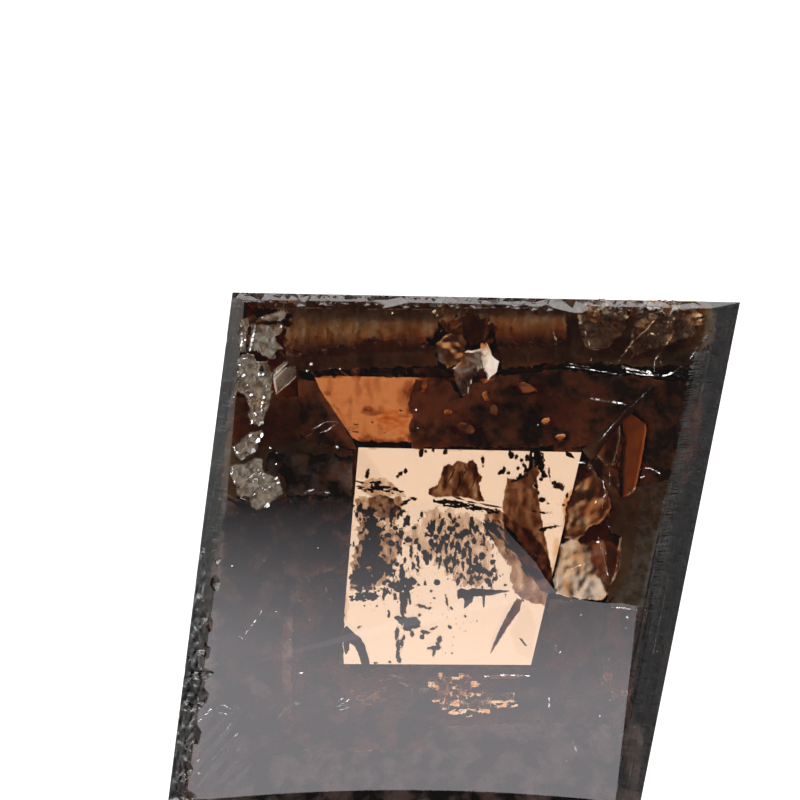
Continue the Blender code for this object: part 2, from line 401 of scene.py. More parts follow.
def diamond():
    m, nodes, links, shader = new_material("brown_diamond")
    shader.inputs["Base Color"].default_value = (1, 1, 1, 1)
    shader.inputs["IOR"].default_value = IOR
    shader.inputs["Transmission Weight"].default_value = 1.0
    frost = nodes.new("ShaderNodeAttribute")
    frost.attribute_name = "frost"
    links.new(frost.outputs["Fac"], shader.inputs["Roughness"])
    # wheel marks on the ground bevels: long streaks, crossed by fine hatching
    where = nodes.new("ShaderNodeTexCoord")
    marks = []
    for turn, scale, amount in ((-78.7, (260.0, 14000.0, 260.0), 1.0),
                                (-78.7, (24000.0, 3500.0, 3500.0), 0.45),
                                (0.0, (2600.0, 2600.0, 2600.0), 2.2)):
        aligned = nodes.new("ShaderNodeMapping")
        aligned.vector_type = "TEXTURE"
        aligned.inputs["Rotation"].default_value = (0.0, 0.0, math.radians(-turn))
        aligned.inputs["Scale"].default_value = tuple(1.0 / v for v in scale)
        links.new(where.outputs["Object"], aligned.inputs["Vector"])
        streak = nodes.new("ShaderNodeTexNoise")
        streak.inputs["Scale"].default_value = 1.0
        streak.inputs["Detail"].default_value = 3.0
        links.new(aligned.outputs[0], streak.inputs["Vector"])
        weigh = nodes.new("ShaderNodeMath")
        weigh.operation = "MULTIPLY"
        weigh.inputs[1].default_value = amount
        links.new(streak.outputs["Fac"], weigh.inputs[0])
        marks.append(weigh)
    total = marks[0]
    for mark in marks[1:]:
        both_marks = nodes.new("ShaderNodeMath")
        both_marks.operation = "ADD"
        links.new(total.outputs[0], both_marks.inputs[0])
        links.new(mark.outputs[0], both_marks.inputs[1])
        total = both_marks
    where_ground = nodes.new("ShaderNodeAttribute")
    where_ground.attribute_name = "grind"
    bump = nodes.new("ShaderNodeBump")
    bump.inputs["Distance"].default_value = 0.03 * MM
    links.new(where_ground.outputs["Fac"], bump.inputs["Strength"])
    links.new(total.outputs[0], bump.inputs["Height"])
    links.new(bump.outputs[0], shader.inputs["Normal"])
    # brown body colour: loss per mm of path in red, green and blue
    loss = (0.088, 0.238, 0.395)
    density = max(loss) / 0.98 / MM
    volume = nodes.new("ShaderNodeVolumeAbsorption")
    volume.inputs["Color"].default_value = (
        *(1.0 - a / MM / density for a in loss), 1.0)
    volume.inputs["Density"].default_value = density
    links.new(volume.outputs[0], nodes["Material Output"].inputs["Volume"])
    return m


# ------------------------------------------------------------------ noise
def lattice_noise(x, y, seed):
    """Smooth noise, 0 to 1, over arrays x and y; one lump per unit."""
    table = np.random.RandomState(seed).rand(128, 128)
    xi, yi = np.floor(x).astype(int), np.floor(y).astype(int)
    u, v = x - xi, y - yi
    u, v = u * u * (3 - 2 * u), v * v * (3 - 2 * v)
    xi, yi = xi & 127, yi & 127
    xj, yj = (xi + 1) & 127, (yi + 1) & 127
    a = table[xi, yi] * (1 - u) + table[xj, yi] * u
    b = table[xi, yj] * (1 - u) + table[xj, yj] * u
    return a * (1 - v) + b * v


def fbm(x, y, seed, octaves=4):
    total, weight, scale = 0.0, 0.0, 1.0
    for k in range(octaves):
        total = total + lattice_noise(x * scale + 7.3 * k, y * scale + 3.1 * k, seed + k) / scale
        weight += 1.0 / scale
        scale *= 2.03
    return total / weight


def inside(points):
    """Distance in pixels to an outline, positive inside it."""
    pts = np.array(points, float)

    def field(x, y):
        best = np.full(x.shape, 1e9)
        odd = np.zeros(x.shape, bool)
        for a, b in zip(pts, np.roll(pts, -1, axis=0)):
            d = b - a
            t = np.clip(((x - a[0]) * d[0] + (y - a[1]) * d[1]) / (d @ d + 1e-9), 0, 1)
            best = np.minimum(best, np.hypot(x - a[0] - t * d[0], y - a[1] - t * d[1]))
            cross = (a[1] > y) != (b[1] > y)
            with np.errstate(divide="ignore", invalid="ignore"):
                at = (b[0] - a[0]) * (y - a[1]) / (b[1] - a[1]) + a[0]
            odd ^= cross & (x < at)
        return np.where(odd, best, -best)

    return field


def skin(x, y, depth):
    """Depths of the stone's upper and lower surface at pixels x, y."""
    grow = 1.0 + depth / (EYE_HEIGHT * IOR)
    X = (EYE[0] + (x - EYE[0]) * grow - MID[0]) * PX
    Y = (MID[1] - EYE[1] - (y - EYE[1]) * grow) * PX
    low = np.zeros(x.shape)
    for i in range(4):
        g0, g1 = GIRDLE[i], GIRDLE[(i + 1) % 4]
        c0, c1 = CULET[i], CULET[(i + 1) % 4]
        g_out, c_out = outward(g0, g1), outward(c0, c1)
        rise = math.tan(math.radians(INNER_SLOPE[i]))
        low = np.maximum(low, ((X - c0[0]) * c_out.x + (Y - c0[1]) * c_out.y) * rise)
        middle = (Vector(g0) + Vector(g1) - Vector(c0) - Vector(c1)) / 2
        width = middle.dot(g_out) - INNER_WIDTH[i]
        rise = (GIRDLE_BOTTOM - INNER_WIDTH[i] * rise) / width
        low = np.maximum(low, GIRDLE_BOTTOM + (
            (X - g0[0]) * g_out.x + (Y - g0[1]) * g_out.y) * rise)
    away = (X - BREAK_LEFT[0]) * TILTED.x + (Y - BREAK_LEFT[1]) * TILTED.y
    roof = np.maximum(0.0, away) * math.tan(math.radians(TABLE_TILT))
    for i, width, slope in ((0, 0.30, 45.0), (1, 0.90, 9.0), (3, 0.32, 20.0)):
        g_out = outward(GIRDLE[i], GIRDLE[(i + 1) % 4])
        reach = (X - GIRDLE[i][0]) * g_out.x + (Y - GIRDLE[i][1]) * g_out.y + width
        roof = np.maximum(roof, np.maximum(0.0, reach) * math.tan(math.radians(slope)))
    return roof, DEPTH - low


# ------------------------------------------------------------- inclusions, painted shade and painted glints
class Bucket:
    """Faces of one kind of piece, gathered in mm; some kinds are inclusions, some are painted shade and painted
    glints.
    """

    def __init__(self, inward=False):
        self.verts, self.faces, self.inward = [], [], inward
        self.frost, self.frosts = 0.0, []
        self.grid = (1.0, 1.0)

    def add(self, verts, faces):
        base = len(self.verts)
        self.verts.extend(tuple(v) for v in verts)
        for f in faces:
            f = f[::-1] if self.inward else f
            self.faces.append(tuple(base + i for i in f))
            self.frosts.append(self.frost)


def sheet(bucket, box, field, depth, thick, step=1.0, within=True):
    """A closed lens-edged sheet wherever field(x, y) is above nought.

    depth(x, y) is its middle and thick(x, y, f) its full thickness, in mm.
    """
    step *= bucket.grid[0 if step >= 1.0 else 1]
    xs = np.arange(box[0], box[2] + step, step)
    ys = np.arange(box[1], box[3] + step, step)
    X, Y = np.meshgrid(xs, ys)
    F = field(X, Y)
    T = thick(X, Y, F) if callable(thick) else np.full(X.shape, float(thick))
    if bucket in (STAIN, RUST, BEVEL_SHADE):
        # a stain or band of painted shade too thin to be seen is left out
        F = np.minimum(F, (T - 0.0035) * 400.0)
    F = np.where(np.abs(F) < 1e-6, -1e-6, F)
    T = np.maximum(T, 0.0008)
    M = depth(X, Y) if callable(depth) else np.full(X.shape, float(depth))
    if within:
        roof, ground = skin(X, Y, M)
        M = np.minimum(M, ground - T / 2 - 0.02)
        M = np.maximum(M, roof + T / 2 + 0.008)
    verts, faces, seen = [], [], {}
    rows, cols = X.shape

    def corner(i, j):
        key = (i, j)
        if key not in seen:
            seen[key] = (len(verts), len(verts) + 1)
            x, y, m, t = X[i, j], Y[i, j], M[i, j], T[i, j]
            verts.append(px(x, y, depth=m - t / 2))
            verts.append(px(x, y, depth=m + t / 2))
        return seen[key]

    def crossing(a, b):
        key = (min(a, b), max(a, b))
        if key not in seen:
            fa, fb = F[a], F[b]
            t = fa / (fa - fb)
            t = min(0.98, max(0.02, t))
            x = X[a] * (1 - t) + X[b] * t
            y = Y[a] * (1 - t) + Y[b] * t
            m = M[a] * (1 - t) + M[b] * t
            seen[key] = (len(verts), len(verts))
            verts.append(px(x, y, depth=m))
        return seen[key]

    P = F > 0
    cells = np.argwhere(P[:-1, :-1] | P[1:, :-1] | P[:-1, 1:] | P[1:, 1:])
    for i, j in cells.tolist():
        if (i + j) % 2:
            tris = (((i, j), (i + 1, j), (i + 1, j + 1)), ((i, j), (i + 1, j + 1), (i, j + 1)))
        else:
            tris = (((i, j), (i + 1, j), (i, j + 1)), ((i + 1, j), (i + 1, j + 1), (i, j + 1)))
        for tri in tris:
            ring = []
            for k in range(3):
                a, b = tri[k], tri[(k + 1) % 3]
                if P[a]:
                    ring.append(corner(*a))
                if P[a] != P[b]:
                    ring.append(crossing(a, b))
            for k in range(1, len(ring) - 1):
                up = (ring[0], ring[k], ring[k + 1])
                faces.append(tuple(u[0] for u in up))
                faces.append(tuple(u[1] for u in reversed(up)))
    bucket.add(verts, faces)


def turned(normal, spin):
    """Two directions across a normal, turned by spin."""
    n = Vector(normal).normalized()
    side = n.cross(Vector((0.3, 1.0, 0.1))).normalized()
    fore = n.cross(side)
    c, s_ = math.cos(spin), math.sin(spin)
    return side * c + fore * s_, fore * c - side * s_, n


def shard(bucket, centre, radius, rng, stretch=(1.0, 1.0), thin=0.18, tilt=35.0,
          spin=None, normal=None, corners=None):
    """A small broken plate: an uneven rim with a low peak each side."""
    if normal is None:
        t, p = math.radians(rng.uniform(0, tilt)), rng.uniform(0, 6.283)
        normal = (math.sin(t) * math.cos(p), math.sin(t) * math.sin(p), math.cos(t))
    u, v, n = turned(normal, rng.uniform(0, 6.283) if spin is None else spin)
    k = corners or rng.randint(5, 8)
    off = rng.uniform(0, 6.283)
    verts = []
    for i in range(k):
        a = off + 6.283 * (i + rng.uniform(-0.3, 0.3)) / k
        r = radius * rng.uniform(0.55, 1.1)
        verts.append(centre + u * (math.cos(a) * r * stretch[0])
                     + v * (math.sin(a) * r * stretch[1])
                     + n * (radius * thin * rng.uniform(-0.25, 0.25)))
    jog = u * rng.uniform(-0.2, 0.2) * radius + v * rng.uniform(-0.2, 0.2) * radius
    verts.append(centre + jog + n * radius * thin)
    verts.append(centre - jog - n * radius * thin)
    faces = []
    for i in range(k):
        j = (i + 1) % k
        faces.append((i, j, k))
        faces.append((j, i, k + 1))
    bucket.add(verts, faces)


def spot(bucket, x, y, w, h, rng, depth=1.4, lean_deg=0.0, thin=0.3):
    """A small plate w by h pixels at (x, y), its long side leaning: a dark grain, or a pale plate that paints a
    glint.
    """
    a = math.radians(lean_deg)
    centre = px(x, y, depth=depth)
    k = 9
    verts = []
    for i in range(k):
        t = 6.283 * (i + rng.uniform(-0.3, 0.3)) / k
        r = rng.uniform(0.62, 1.12)
        du, dv = math.cos(t) * w / 2 * r, math.sin(t) * h / 2 * r
        dx, dy = du * math.cos(a) - dv * math.sin(a), du * math.sin(a) + dv * math.cos(a)
        verts.append(centre + Vector((dx * PX, -dy * PX, rng.uniform(-0.2, 0.2) * thin * w * PX)))
    low = min(w, h) * PX * thin
    verts.append(centre + Vector((0, 0, low)))
    verts.append(centre - Vector((0, 0, low * 1.3)))
    faces = []
    for i in range(k):
        j = (i + 1) % k
        faces.append((j, i, k))
        faces.append((i, j, k + 1))
    bucket.add(verts, faces)


def ribbon(bucket, points, widths, depths, thick=0.012, rng=None, jag=0.0):
    """A strip along pixel points: diamond-shaped across, ending in points."""
    pts = [Vector(p) for p in points]
    n = len(pts)
    if not isinstance(widths, (list, tuple)):
        widths = [0.0] + [widths] * (n - 2) + [0.0] if n > 2 else [widths, widths]
    if not isinstance(depths, (list, tuple)):
        depths = [depths] * n
    verts, faces = [], []
    for i, p in enumerate(pts):
        a = pts[max(0, i - 1)]
        b = pts[min(n - 1, i + 1)]
        d = (b - a).normalized()
        side = Vector((-d.y, d.x))
        w = max(widths[i], 0.12)
        j1 = (rng.uniform(-jag, jag) if rng else 0.0) * w
        j2 = (rng.uniform(-jag, jag) if rng else 0.0) * w
        l, r = p + side * (w / 2 + j1), p - side * (w / 2 + j2)
        t = thick * min(1.0, w)
        verts += [px(l.x, l.y, depth=depths[i]), px(p.x, p.y, depth=depths[i] - t / 2),
                  px(r.x, r.y, depth=depths[i]), px(p.x, p.y, depth=depths[i] + t / 2)]
    for i in range(n - 1):
        for k in range(4):
            a, b = 4 * i + k, 4 * i + (k + 1) % 4
            faces.append((b, a, a + 4, b + 4))
    faces.append((0, 1, 2, 3))
    e = 4 * (n - 1)
    faces.append((e + 3, e + 2, e + 1, e))
    bucket.add(verts, faces)


def scatter(bucket, outline, count, sizes, depths, rng, **kw):
    """Shards strewn through an outline of pixels; sizes in pixels."""
    xs, ys = [p[0] for p in outline], [p[1] for p in outline]
    done = 0
    while done < count:
        x, y = rng.uniform(min(xs), max(xs)), rng.uniform(min(ys), max(ys))
        odd = False
        for (ax, ay), (bx, by) in zip(outline, outline[1:] + outline[:1]):
            if (ay > y) != (by > y) and x < (bx - ax) * (y - ay) / (by - ay) + ax:
                odd = not odd
        if not odd:
            continue
        size = sizes[0] + (sizes[1] - sizes[0]) * rng.random() ** 2.2
        shard(bucket, px(x, y, depth=rng.uniform(*depths)), size * PX / 2, rng, **kw)
        done += 1


CARBON_AND_SHADE, STAIN, RUST, BEVEL_SHADE, HAZE, GOLD_AND_GLINTS, PAINTED_GLINTS, RUSSET, VEIL, GRIT, PALE, BRIGHT = (
    Bucket() for _ in range(12))
VOIDS = Bucket(inward=True)
# soft kinds need a coarser grid than their steps ask for: (wide, fine) sheets
STAIN.grid, RUST.grid, VEIL.grid = (3.0, 1.9), (1.5, 1.3), (1.6, 1.2)
GOLD_AND_GLINTS.grid, RUSSET.grid, BEVEL_SHADE.grid = (1.3, 1.2), (1.2, 1.1), (1.3, 1.2)
VOIDS.grid, CARBON_AND_SHADE.grid = (1.2, 1.18), (1.12, 1.12)


def mark_ground(bm):
    """Tag each face with how frosted it is: the polished facets not at all,
    the ground bevels and girdle some."""
    layer = bm.faces.layers.float.new("frost")
    grind = bm.faces.layers.float.new("grind")
    sides = [outward(GIRDLE[i], GIRDLE[(i + 1) % 4]) for i in range(4)]
    for face in bm.faces:
        n, c = face.normal, face.calc_center_median()
        flat = Vector((n.x, n.y))
        frost = 0.0
        if c.z > GIRDLE_BOTTOM - 0.01 and abs(n.z) < 0.3:
            frost = 0.35
        elif n.z > 0.3 and flat.length > 0.03:
            side = max(range(4), key=lambda k: flat.dot(sides[k]))
            tilt = math.degrees(math.atan2(flat.length, n.z))
            reach = (Vector((c.x, c.y)) - Vector(GIRDLE[side])).dot(sides[side])
            frost = {0: 0.08, 1: 0.28, 2: 0.25, 3: 0.30}[side]
            if side == 1 and tilt < 11:
                frost = 0.24
            if reach < -0.9:
                frost = 0.05
            elif side in (1, 3):
                face[grind] = 1.0 if side == 1 else 0.25
        face[layer] = frost


# painted shade: neutral grey absorbing bands that darken the stone under the two ground bevels
def band(x_in, x_out):
    def field(x, y):
        a, b = x_in(y), x_out(y)
        return np.minimum(x - np.minimum(a, b), np.maximum(a, b) - x)
    return field


def left_girdle(y):
    return 231.8 - (y - 292.0) * 0.1276


def right_girdle(y):
    return 741.0 - (y - 302.0) * 0.2


sheet(BEVEL_SHADE, (160, 296, 232, 815), band(lambda y: left_girdle(y) + 3.0,
      lambda y: left_girdle(y) + 15.0 + (y - 300) * 0.010 + 3 * fbm(y / 9.0, y * 0.0, 5)),
      0.34, lambda x, y, f: 0.30 * np.minimum(1, f / 3.0) * (0.6 + 0.5 * fbm(x / 3, y / 14, 8)), 1.5)
sheet(BEVEL_SHADE, (630, 306, 745, 815), band(lambda y: right_girdle(y) - 4.0,
      lambda y: right_girdle(y) - 33.0 - 7.0 * np.exp(-((y - 520) / 120.0) ** 2) + 5 * (fbm(y / 12.0, y * 0.0, 6) - 0.5)),
      0.42, lambda x, y, f: 0.30 * np.minimum(1, f / 3.0) * (0.6 + 0.5 * fbm(x / 2.5, y / 25, 9)), 1.5)

# ---- the clear window over the culet -------------------------------------
rng = random.Random(5)


def low_depth(y):
    """Deep enough to leave the light of the big orange facet alone."""
    return DEPTH - max(0.06, 0.0076 * (y - 448.0) - 0.10)


def ragged(points, amount=1.4, size=4.0, seed=1):
    """An outline with a torn edge."""
    base = inside(points)
    return lambda x, y: base(x, y) + (fbm(x / size, y / size, seed, 3) - 0.5) * 2 * amount


def dome(k, most, floor=0.0):
    return lambda x, y, f: np.minimum(most, floor + k * np.maximum(f, 0))


# single grains: x, y, width, height, lean, each in pixels or degrees
LEFT_GRAINS = (
    (367, 475, 4, 9, 8), (400, 475, 6, 4, -30), (405, 473, 4, 5, 20), (397, 478, 4, 3, 0),
    (361, 484, 8, 2.4, 12), (372, 484, 7, 2.2, -10), (421, 454, 5, 9, 12), (425, 453, 3, 3, 0),
    (433, 451.5, 3, 4, 0), (422, 515, 3, 6, 0), (405, 503, 10, 3, -20), (413, 500, 6, 3, 15),
    (398, 508, 7, 4, 40), (360, 508, 5, 9, 20), (357, 515, 4, 6, 0), (408, 517, 4, 3, 0),
    (414, 528, 5, 4, 0), (395, 528, 6, 5, 30), (388, 535, 7, 4, -10), (401, 534, 5, 8, 10),
    (408, 540, 8, 5, 0), (416, 541, 4, 6, 20), (392, 544, 7, 5, 0), (399, 549, 4, 5, 0),
    (419, 547, 4, 8, -10), (411, 550, 3, 12, 4), (418, 560, 3, 14, -6), (405, 560, 3, 6, 0),
    (426, 557, 6, 15, -12), (413, 566, 3, 9, 5), (397, 564, 4, 5, 20), (391, 571, 9, 4, -8),
    (402, 574, 6, 12, 5), (404, 581, 9, 7, 0), (393, 585, 11, 7, 10), (409, 584, 9, 6, -10),
    (414, 582, 6, 4, 0), (384, 583, 5, 4, 0), (388, 581, 6, 4, 20), (385, 591, 4, 7, 0),
    (383.5, 596, 3.4, 8, 10), (395, 596, 4, 7, -10), (418, 585, 4, 2.4, 0), (425, 582, 2.4, 6, 0),
    (402, 597, 5, 10, 0), (405, 604, 3.5, 14, 0), (402, 610, 4, 12, 3), (408, 595, 4, 6, 0),
    (377, 606, 2.4, 2.4, 0), (389, 614, 2.4, 5, 15), (359, 627, 5, 2.6, -25), (410, 600, 2.6, 7, 0),
    (421, 606, 9, 3, 12), (428, 608, 6, 2.4, 0), (419, 615, 4, 2.2, -15), (388, 611, 2, 2, 0),
    (397, 633, 4, 14, 4), (398, 645, 5, 12, 0), (398, 656, 4, 12, -3), (402, 643, 3.4, 9, 0),
    (400, 661, 3, 4, 20), (404, 638, 2.2, 5, 0), (352, 666, 3, 2.4, 0), (376, 663, 4, 2, 0),
    (390, 662, 2.6, 3, 0), (412, 634, 4, 6, 10), (407, 628, 10, 6, 8), (416, 626, 9, 5, -12),
    (425, 632, 9, 4, 10), (422, 637, 4, 5, 35), (432, 629, 7, 2.2, -12), (436, 627, 4, 2, -30),
    (398, 618, 8, 4, 5), (404, 620, 9, 6, 0), (412, 619, 10, 5, 0), (418, 622, 5, 4, 0),
)
RIGHT_GRAINS = (
    (445, 453, 4, 6, 25), (474, 447, 2, 3, 0), (482.5, 461, 3.6, 8, 8), (483, 467, 2, 3, 0),
    (501, 473, 7, 5, -20), (504, 470, 3, 6, 0), (508, 474, 4, 3, 0), (512, 449, 8, 3, -10),
    (518, 447, 7, 2.4, 15), (511, 456, 6, 8, -20), (516, 458, 4, 5, 0), (521, 461, 3.6, 4, 0),
    (524, 466, 5, 3, 30), (518, 469, 3, 4, 0), (527, 459, 5, 7, 0), (537, 452, 6, 6, 0),
    (540, 459, 6, 8, -20), (541, 468, 6, 8, 10), (536, 462, 5, 6, 0), (543, 475, 4, 8, 12),
    (549, 475, 2.2, 10, -6), (558, 486.5, 11, 6, 8), (554, 484, 5, 5, 0), (562, 489, 5, 5, 30),
    (536, 487, 4.6, 5, 0), (538, 493, 3, 5, 0), (542, 500.5, 7.5, 5, -6), (548, 504, 2, 2, 0),
    (564, 506, 4, 2.4, 0), (551, 513, 2, 1.6, 0), (567, 496, 2.6, 5, 20), (543, 513.5, 11, 2.2, 4),
    (534, 512, 6, 2, 10), (551, 528, 16, 2.6, -8), (543, 530, 8, 4, -14), (541, 480, 4, 4, 0),
    (442, 523, 4, 12, 12), (439, 530, 4, 8, 8), (450, 516, 3.4, 10, -25), (454, 521, 3.6, 8, 20),
    (457, 525, 6, 5, 0), (452, 529, 8, 5, 12), (466, 532, 10, 6, 0), (472, 522, 4.4, 13, -10),
    (476, 529, 5, 9, 10), (459, 536, 11, 5, 0), (447, 537, 7, 7, 20), (436, 537, 6, 5, -15),
    (429, 528, 5, 4, 0), (427, 535, 4, 3, 0), (431, 542, 5, 7, 0), (441, 544, 4, 14, 8),
    (446, 549, 3.4, 16, -5), (452, 545, 4, 10, 12), (459, 548, 3.4, 14, -8), (455, 556, 3.2, 12, 4),
    (463, 553, 3, 12, 16), (467, 545, 5, 7, 0), (470, 553, 2.8, 18, -4), (474, 541, 5, 6, 0),
    (440, 561, 3, 14, 8), (446, 565, 3.2, 16, -12), (451, 570, 2.2, 6, -20), (458, 563, 2.6, 9, 0),
    (463, 565, 3, 10, -6), (470, 566, 2.2, 9, 0), (476, 560, 5, 8, 20), (482, 556, 7, 8, 20),
    (437, 582, 6, 6, 0), (431, 591, 2.2, 2.2, 0), (434, 598, 3, 2.2, 0), (447, 602, 2.2, 12, -12),
    (451, 608, 2, 4, -30), (465, 616, 3, 2.4, 15), (450, 627, 4.4, 3.4, 20), (439.5, 640, 5, 8, 20),
    (435, 648, 11, 5, -6), (434, 652, 3.4, 8, 8), (438, 646, 4, 6, 0), (429, 648, 4, 2.4, 0),
    (458, 581, 4, 8, 10), (461, 576, 4, 6, 0), (470, 572, 7, 5, 0), (477, 569, 9, 7, 10),
    (484, 571, 7, 6, -15), (490, 574, 7, 6, 0), (479, 578, 8, 5, 0), (488, 581, 7, 6, 20),
    (490, 585, 4.6, 5, 0), (494, 570, 5, 5, 0), (496, 579, 3, 4, 0), (505, 585, 3, 2.2, 0),
    (500, 576, 4, 2, 20), (472, 583, 5, 3, 0), (482, 587, 3, 3, 0), (478, 565, 6, 4, -20),
    (493, 562, 5, 6, 30), (452, 653, 2, 2, 0), (448, 579, 2, 2, 0), (457, 573, 2, 2, 0),
)


def grains(items, grow=0.0):
    """Distance field of many leaning ovals, positive inside any of them."""
    def field(x, y):
        best = np.full(x.shape, -9.0)
        for gx, gy, w, h, lean_deg in items:
            a = math.radians(lean_deg)
            r = max(w, h) + 6
            near = (np.abs(x - gx) < r) & (np.abs(y - gy) < r)
            u, v = x[near] - gx, y[near] - gy
            u, v = u * math.cos(a) + v * math.sin(a), -u * math.sin(a) + v * math.cos(a)
            d = (1.0 - np.hypot(u / (w / 2 + grow), v / (h / 2 + grow))) * (min(w, h) / 2 + grow)
            best[near] = np.maximum(best[near], d)
        return best
    return field


def torn(field, amount, size, seed):
    return lambda x, y: field(x, y) + (fbm(x / size, y / size, seed, 3) - 0.5) * 2 * amount


def islands(outline, level, stretch, gain, seed, fade=8.0):
    """Islands of noise inside an outline, thinning out towards its edge."""
    base = inside(outline)

    def field(x, y):
        f = base(x, y)
        n = fbm(x / stretch[0], y / stretch[1], seed, 4)
        return np.minimum((n - level - 0.16 * np.clip(1 - f / fade, 0, 1)) * gain, f)
    return field


def both(*fields):
    return lambda x, y: np.maximum.reduce([f(x, y) for f in fields])


def left_depth(x, y):
    return DEPTH - np.maximum(0.10, 0.0076 * (y - 448.0) - 0.10) + 0.12 * fbm(x / 9, y / 9, 3)


def right_depth(x, y):
    return 0.62 + 1.3 * fbm(x / 16, y / 22, 4)


PEPPER_L = ((352, 503), (380, 497), (405, 505), (424, 520), (424, 560), (420, 590), (396, 600),
            (352, 598))
PEPPER_R = ((424, 512), (452, 510), (480, 518), (494, 540), (500, 566), (498, 588), (470, 592),
            (452, 580), (424, 562))
left_dark = both(torn(grains(LEFT_GRAINS), 1.1, 1.9, 21), islands(PEPPER_L, 0.60, (3.4, 4.6), 9.0, 22))
right_dark = both(torn(grains(RIGHT_GRAINS), 1.1, 1.9, 23),
                  islands(PEPPER_R, 0.60, (2.8, 5.5), 9.0, 24))
sheet(CARBON_AND_SHADE, (345, 446, 442, 668), left_dark, left_depth, dome(0.05, 0.10), 0.6)
sheet(CARBON_AND_SHADE, (418, 444, 572, 660), right_dark, right_depth, dome(0.05, 0.10), 0.6)
# brown rims and threads about the grains
sheet(STAIN, (345, 446, 442, 668), lambda x, y: left_dark(x, y) + 1.6 * fbm(x / 3, y / 4, 31) + 0.3,
      lambda x, y: left_depth(x, y) - 0.10, dome(0.03, 0.06), 0.9)
sheet(STAIN, (418, 444, 572, 660), lambda x, y: right_dark(x, y) + 1.6 * fbm(x / 3, y / 4, 32) + 0.3,
      lambda x, y: right_depth(x, y) - 0.12, dome(0.03, 0.06), 0.9)
# dust of very small grains about the larger ones
scatter(CARBON_AND_SHADE, [(352, 500), (430, 505), (500, 540), (520, 590), (440, 660), (350, 600)],
        170, (0.9, 2.6), (1.3, 2.0), rng, thin=0.5, tilt=80)
scatter(CARBON_AND_SHADE, [(500, 452), (572, 455), (560, 540), (540, 560)],
        26, (0.8, 2.0), (0.9, 1.7), rng, thin=0.5, tilt=80)


# dark solid patches: outline, depth, tear
DARK_PATCHES = (
    # low mound and its foot
    (((354, 486), (366, 488), (373, 483), (380, 482), (384, 486), (396, 489), (403, 493),
      (392, 494), (380, 493), (370, 495), (360, 491)), 1.95, 1.6),
    # the blot on the left
    (((364, 512), (370, 507), (376, 512), (379, 522), (381, 535), (380, 550), (386, 562),
      (384, 575), (378, 582), (366, 590), (352, 584), (350, 572), (356, 562), (362, 550),
      (364, 530)), 1.72, 3.0),
    (((350, 575), (362, 568), (376, 572), (374, 584), (360, 590), (349, 590)), 1.50, 2.2),
    # the leaf
    (((349, 596), (358, 592), (370, 590), (378, 592), (381, 596), (372, 601), (358, 602),
      (350, 600)), 1.40, 1.2),
    # the stroke under the brown feather
    (((433, 499), (448, 500), (462, 502), (476, 505), (490, 509), (500, 511), (498, 516),
      (484, 514), (468, 510), (452, 508), (440, 507), (434, 504)), 1.05, 1.4),
    # slanting dark core of the fracture
    (((482, 519), (492, 517), (504, 524), (514, 534), (522, 544), (530, 556), (538, 566),
      (545, 580), (538, 586), (526, 574), (512, 558), (498, 546), (486, 536)), 1.20, 2.6),
    # the needle
    (((457, 591), (461, 588), (467, 590), (472, 588), (484, 589), (498, 590), (513, 590.4),
      (500, 593), (488, 595.5), (474, 597), (472, 602), (468, 604), (463, 598), (458, 599)),
     1.10, 0.7),
    (((464, 600), (471, 600), (468, 606), (463.5, 609)), 1.12, 0.5),
    (((482, 595), (485.4, 595), (484.4, 607), (483, 607)), 1.12, 0.3),
    (((519, 638), (522, 639), (528, 647), (524.5, 645.5)), 0.90, 0.4),
    # the hooked black feather
    (((343, 629), (347, 626), (352, 631), (360, 637), (365, 646), (368.5, 657), (369.5, 664),
      (362, 666), (360, 659), (357, 651), (353, 645), (350, 643), (349, 650), (346, 655),
      (343, 644)), 0.78, 0.9),
    # trunk between the two clusters
    (((392, 583), (404, 579), (416, 583), (414, 588), (408, 592), (407, 606), (404, 618),
      (400.5, 618), (401, 603), (399, 592), (393, 590)), 1.18, 1.4),
    (((393, 618), (403, 617), (415, 617.5), (420, 621), (417, 626), (411, 630), (405, 627),
      (399, 624)), 1.02, 1.4),
    # the top of the brown band
    (((531, 448), (543, 450), (544, 462), (548, 478), (543, 480), (538, 466), (531, 470),
      (524, 480), (516, 483), (511, 482), (520, 474), (527, 464)), 1.25, 1.6),
    (((565, 452), (571, 454), (575, 460), (566, 457)), 1.60, 0.6),
)
def riddled(points, tear, share, stretch, seed, turn=0.0):
    """A torn patch with holes; share is how much of it is left."""
    edge = ragged(points, tear, 3.2, seed)
    c, s_ = math.cos(math.radians(turn)), math.sin(math.radians(turn))

    def field(x, y):
        u, v = x * c + y * s_, -x * s_ + y * c
        n = fbm(u / stretch[0], v / stretch[1], seed + 100, 4)
        f = edge(x, y)
        return np.minimum(f, (share + 0.02 * np.clip(f, 0, 8) - n) * 24.0)
    return field


RIDDLED = {0: (0.50, (4.0, 2.2), 0.0), 1: (0.58, (3.0, 4.0), 0.0), 2: (0.56, (3.5, 2.5), 0.0),
           3: (0.54, (5.0, 2.2), 0.0), 4: (0.56, (6.0, 1.8), 10.0), 5: (0.44, (9.0, 2.6), 50.0),
           11: (0.54, (2.6, 3.4), 0.0), 12: (0.52, (3.4, 2.4), 0.0), 13: (0.54, (2.6, 5.0), 0.0)}
for k, (points, depth, tear) in enumerate(DARK_PATCHES):
    xs, ys = [p[0] for p in points], [p[1] for p in points]
    field = ragged(points, tear, 3.2, 40 + k)
    if k in RIDDLED:
        share, stretch, turn = RIDDLED[k]
        field = riddled(points, tear + 0.6, share, stretch, 40 + k, turn)
    sheet(CARBON_AND_SHADE, (min(xs) - 4, min(ys) - 4, max(xs) + 4, max(ys) + 4),
          field, depth, dome(0.02, 0.07), 0.5)

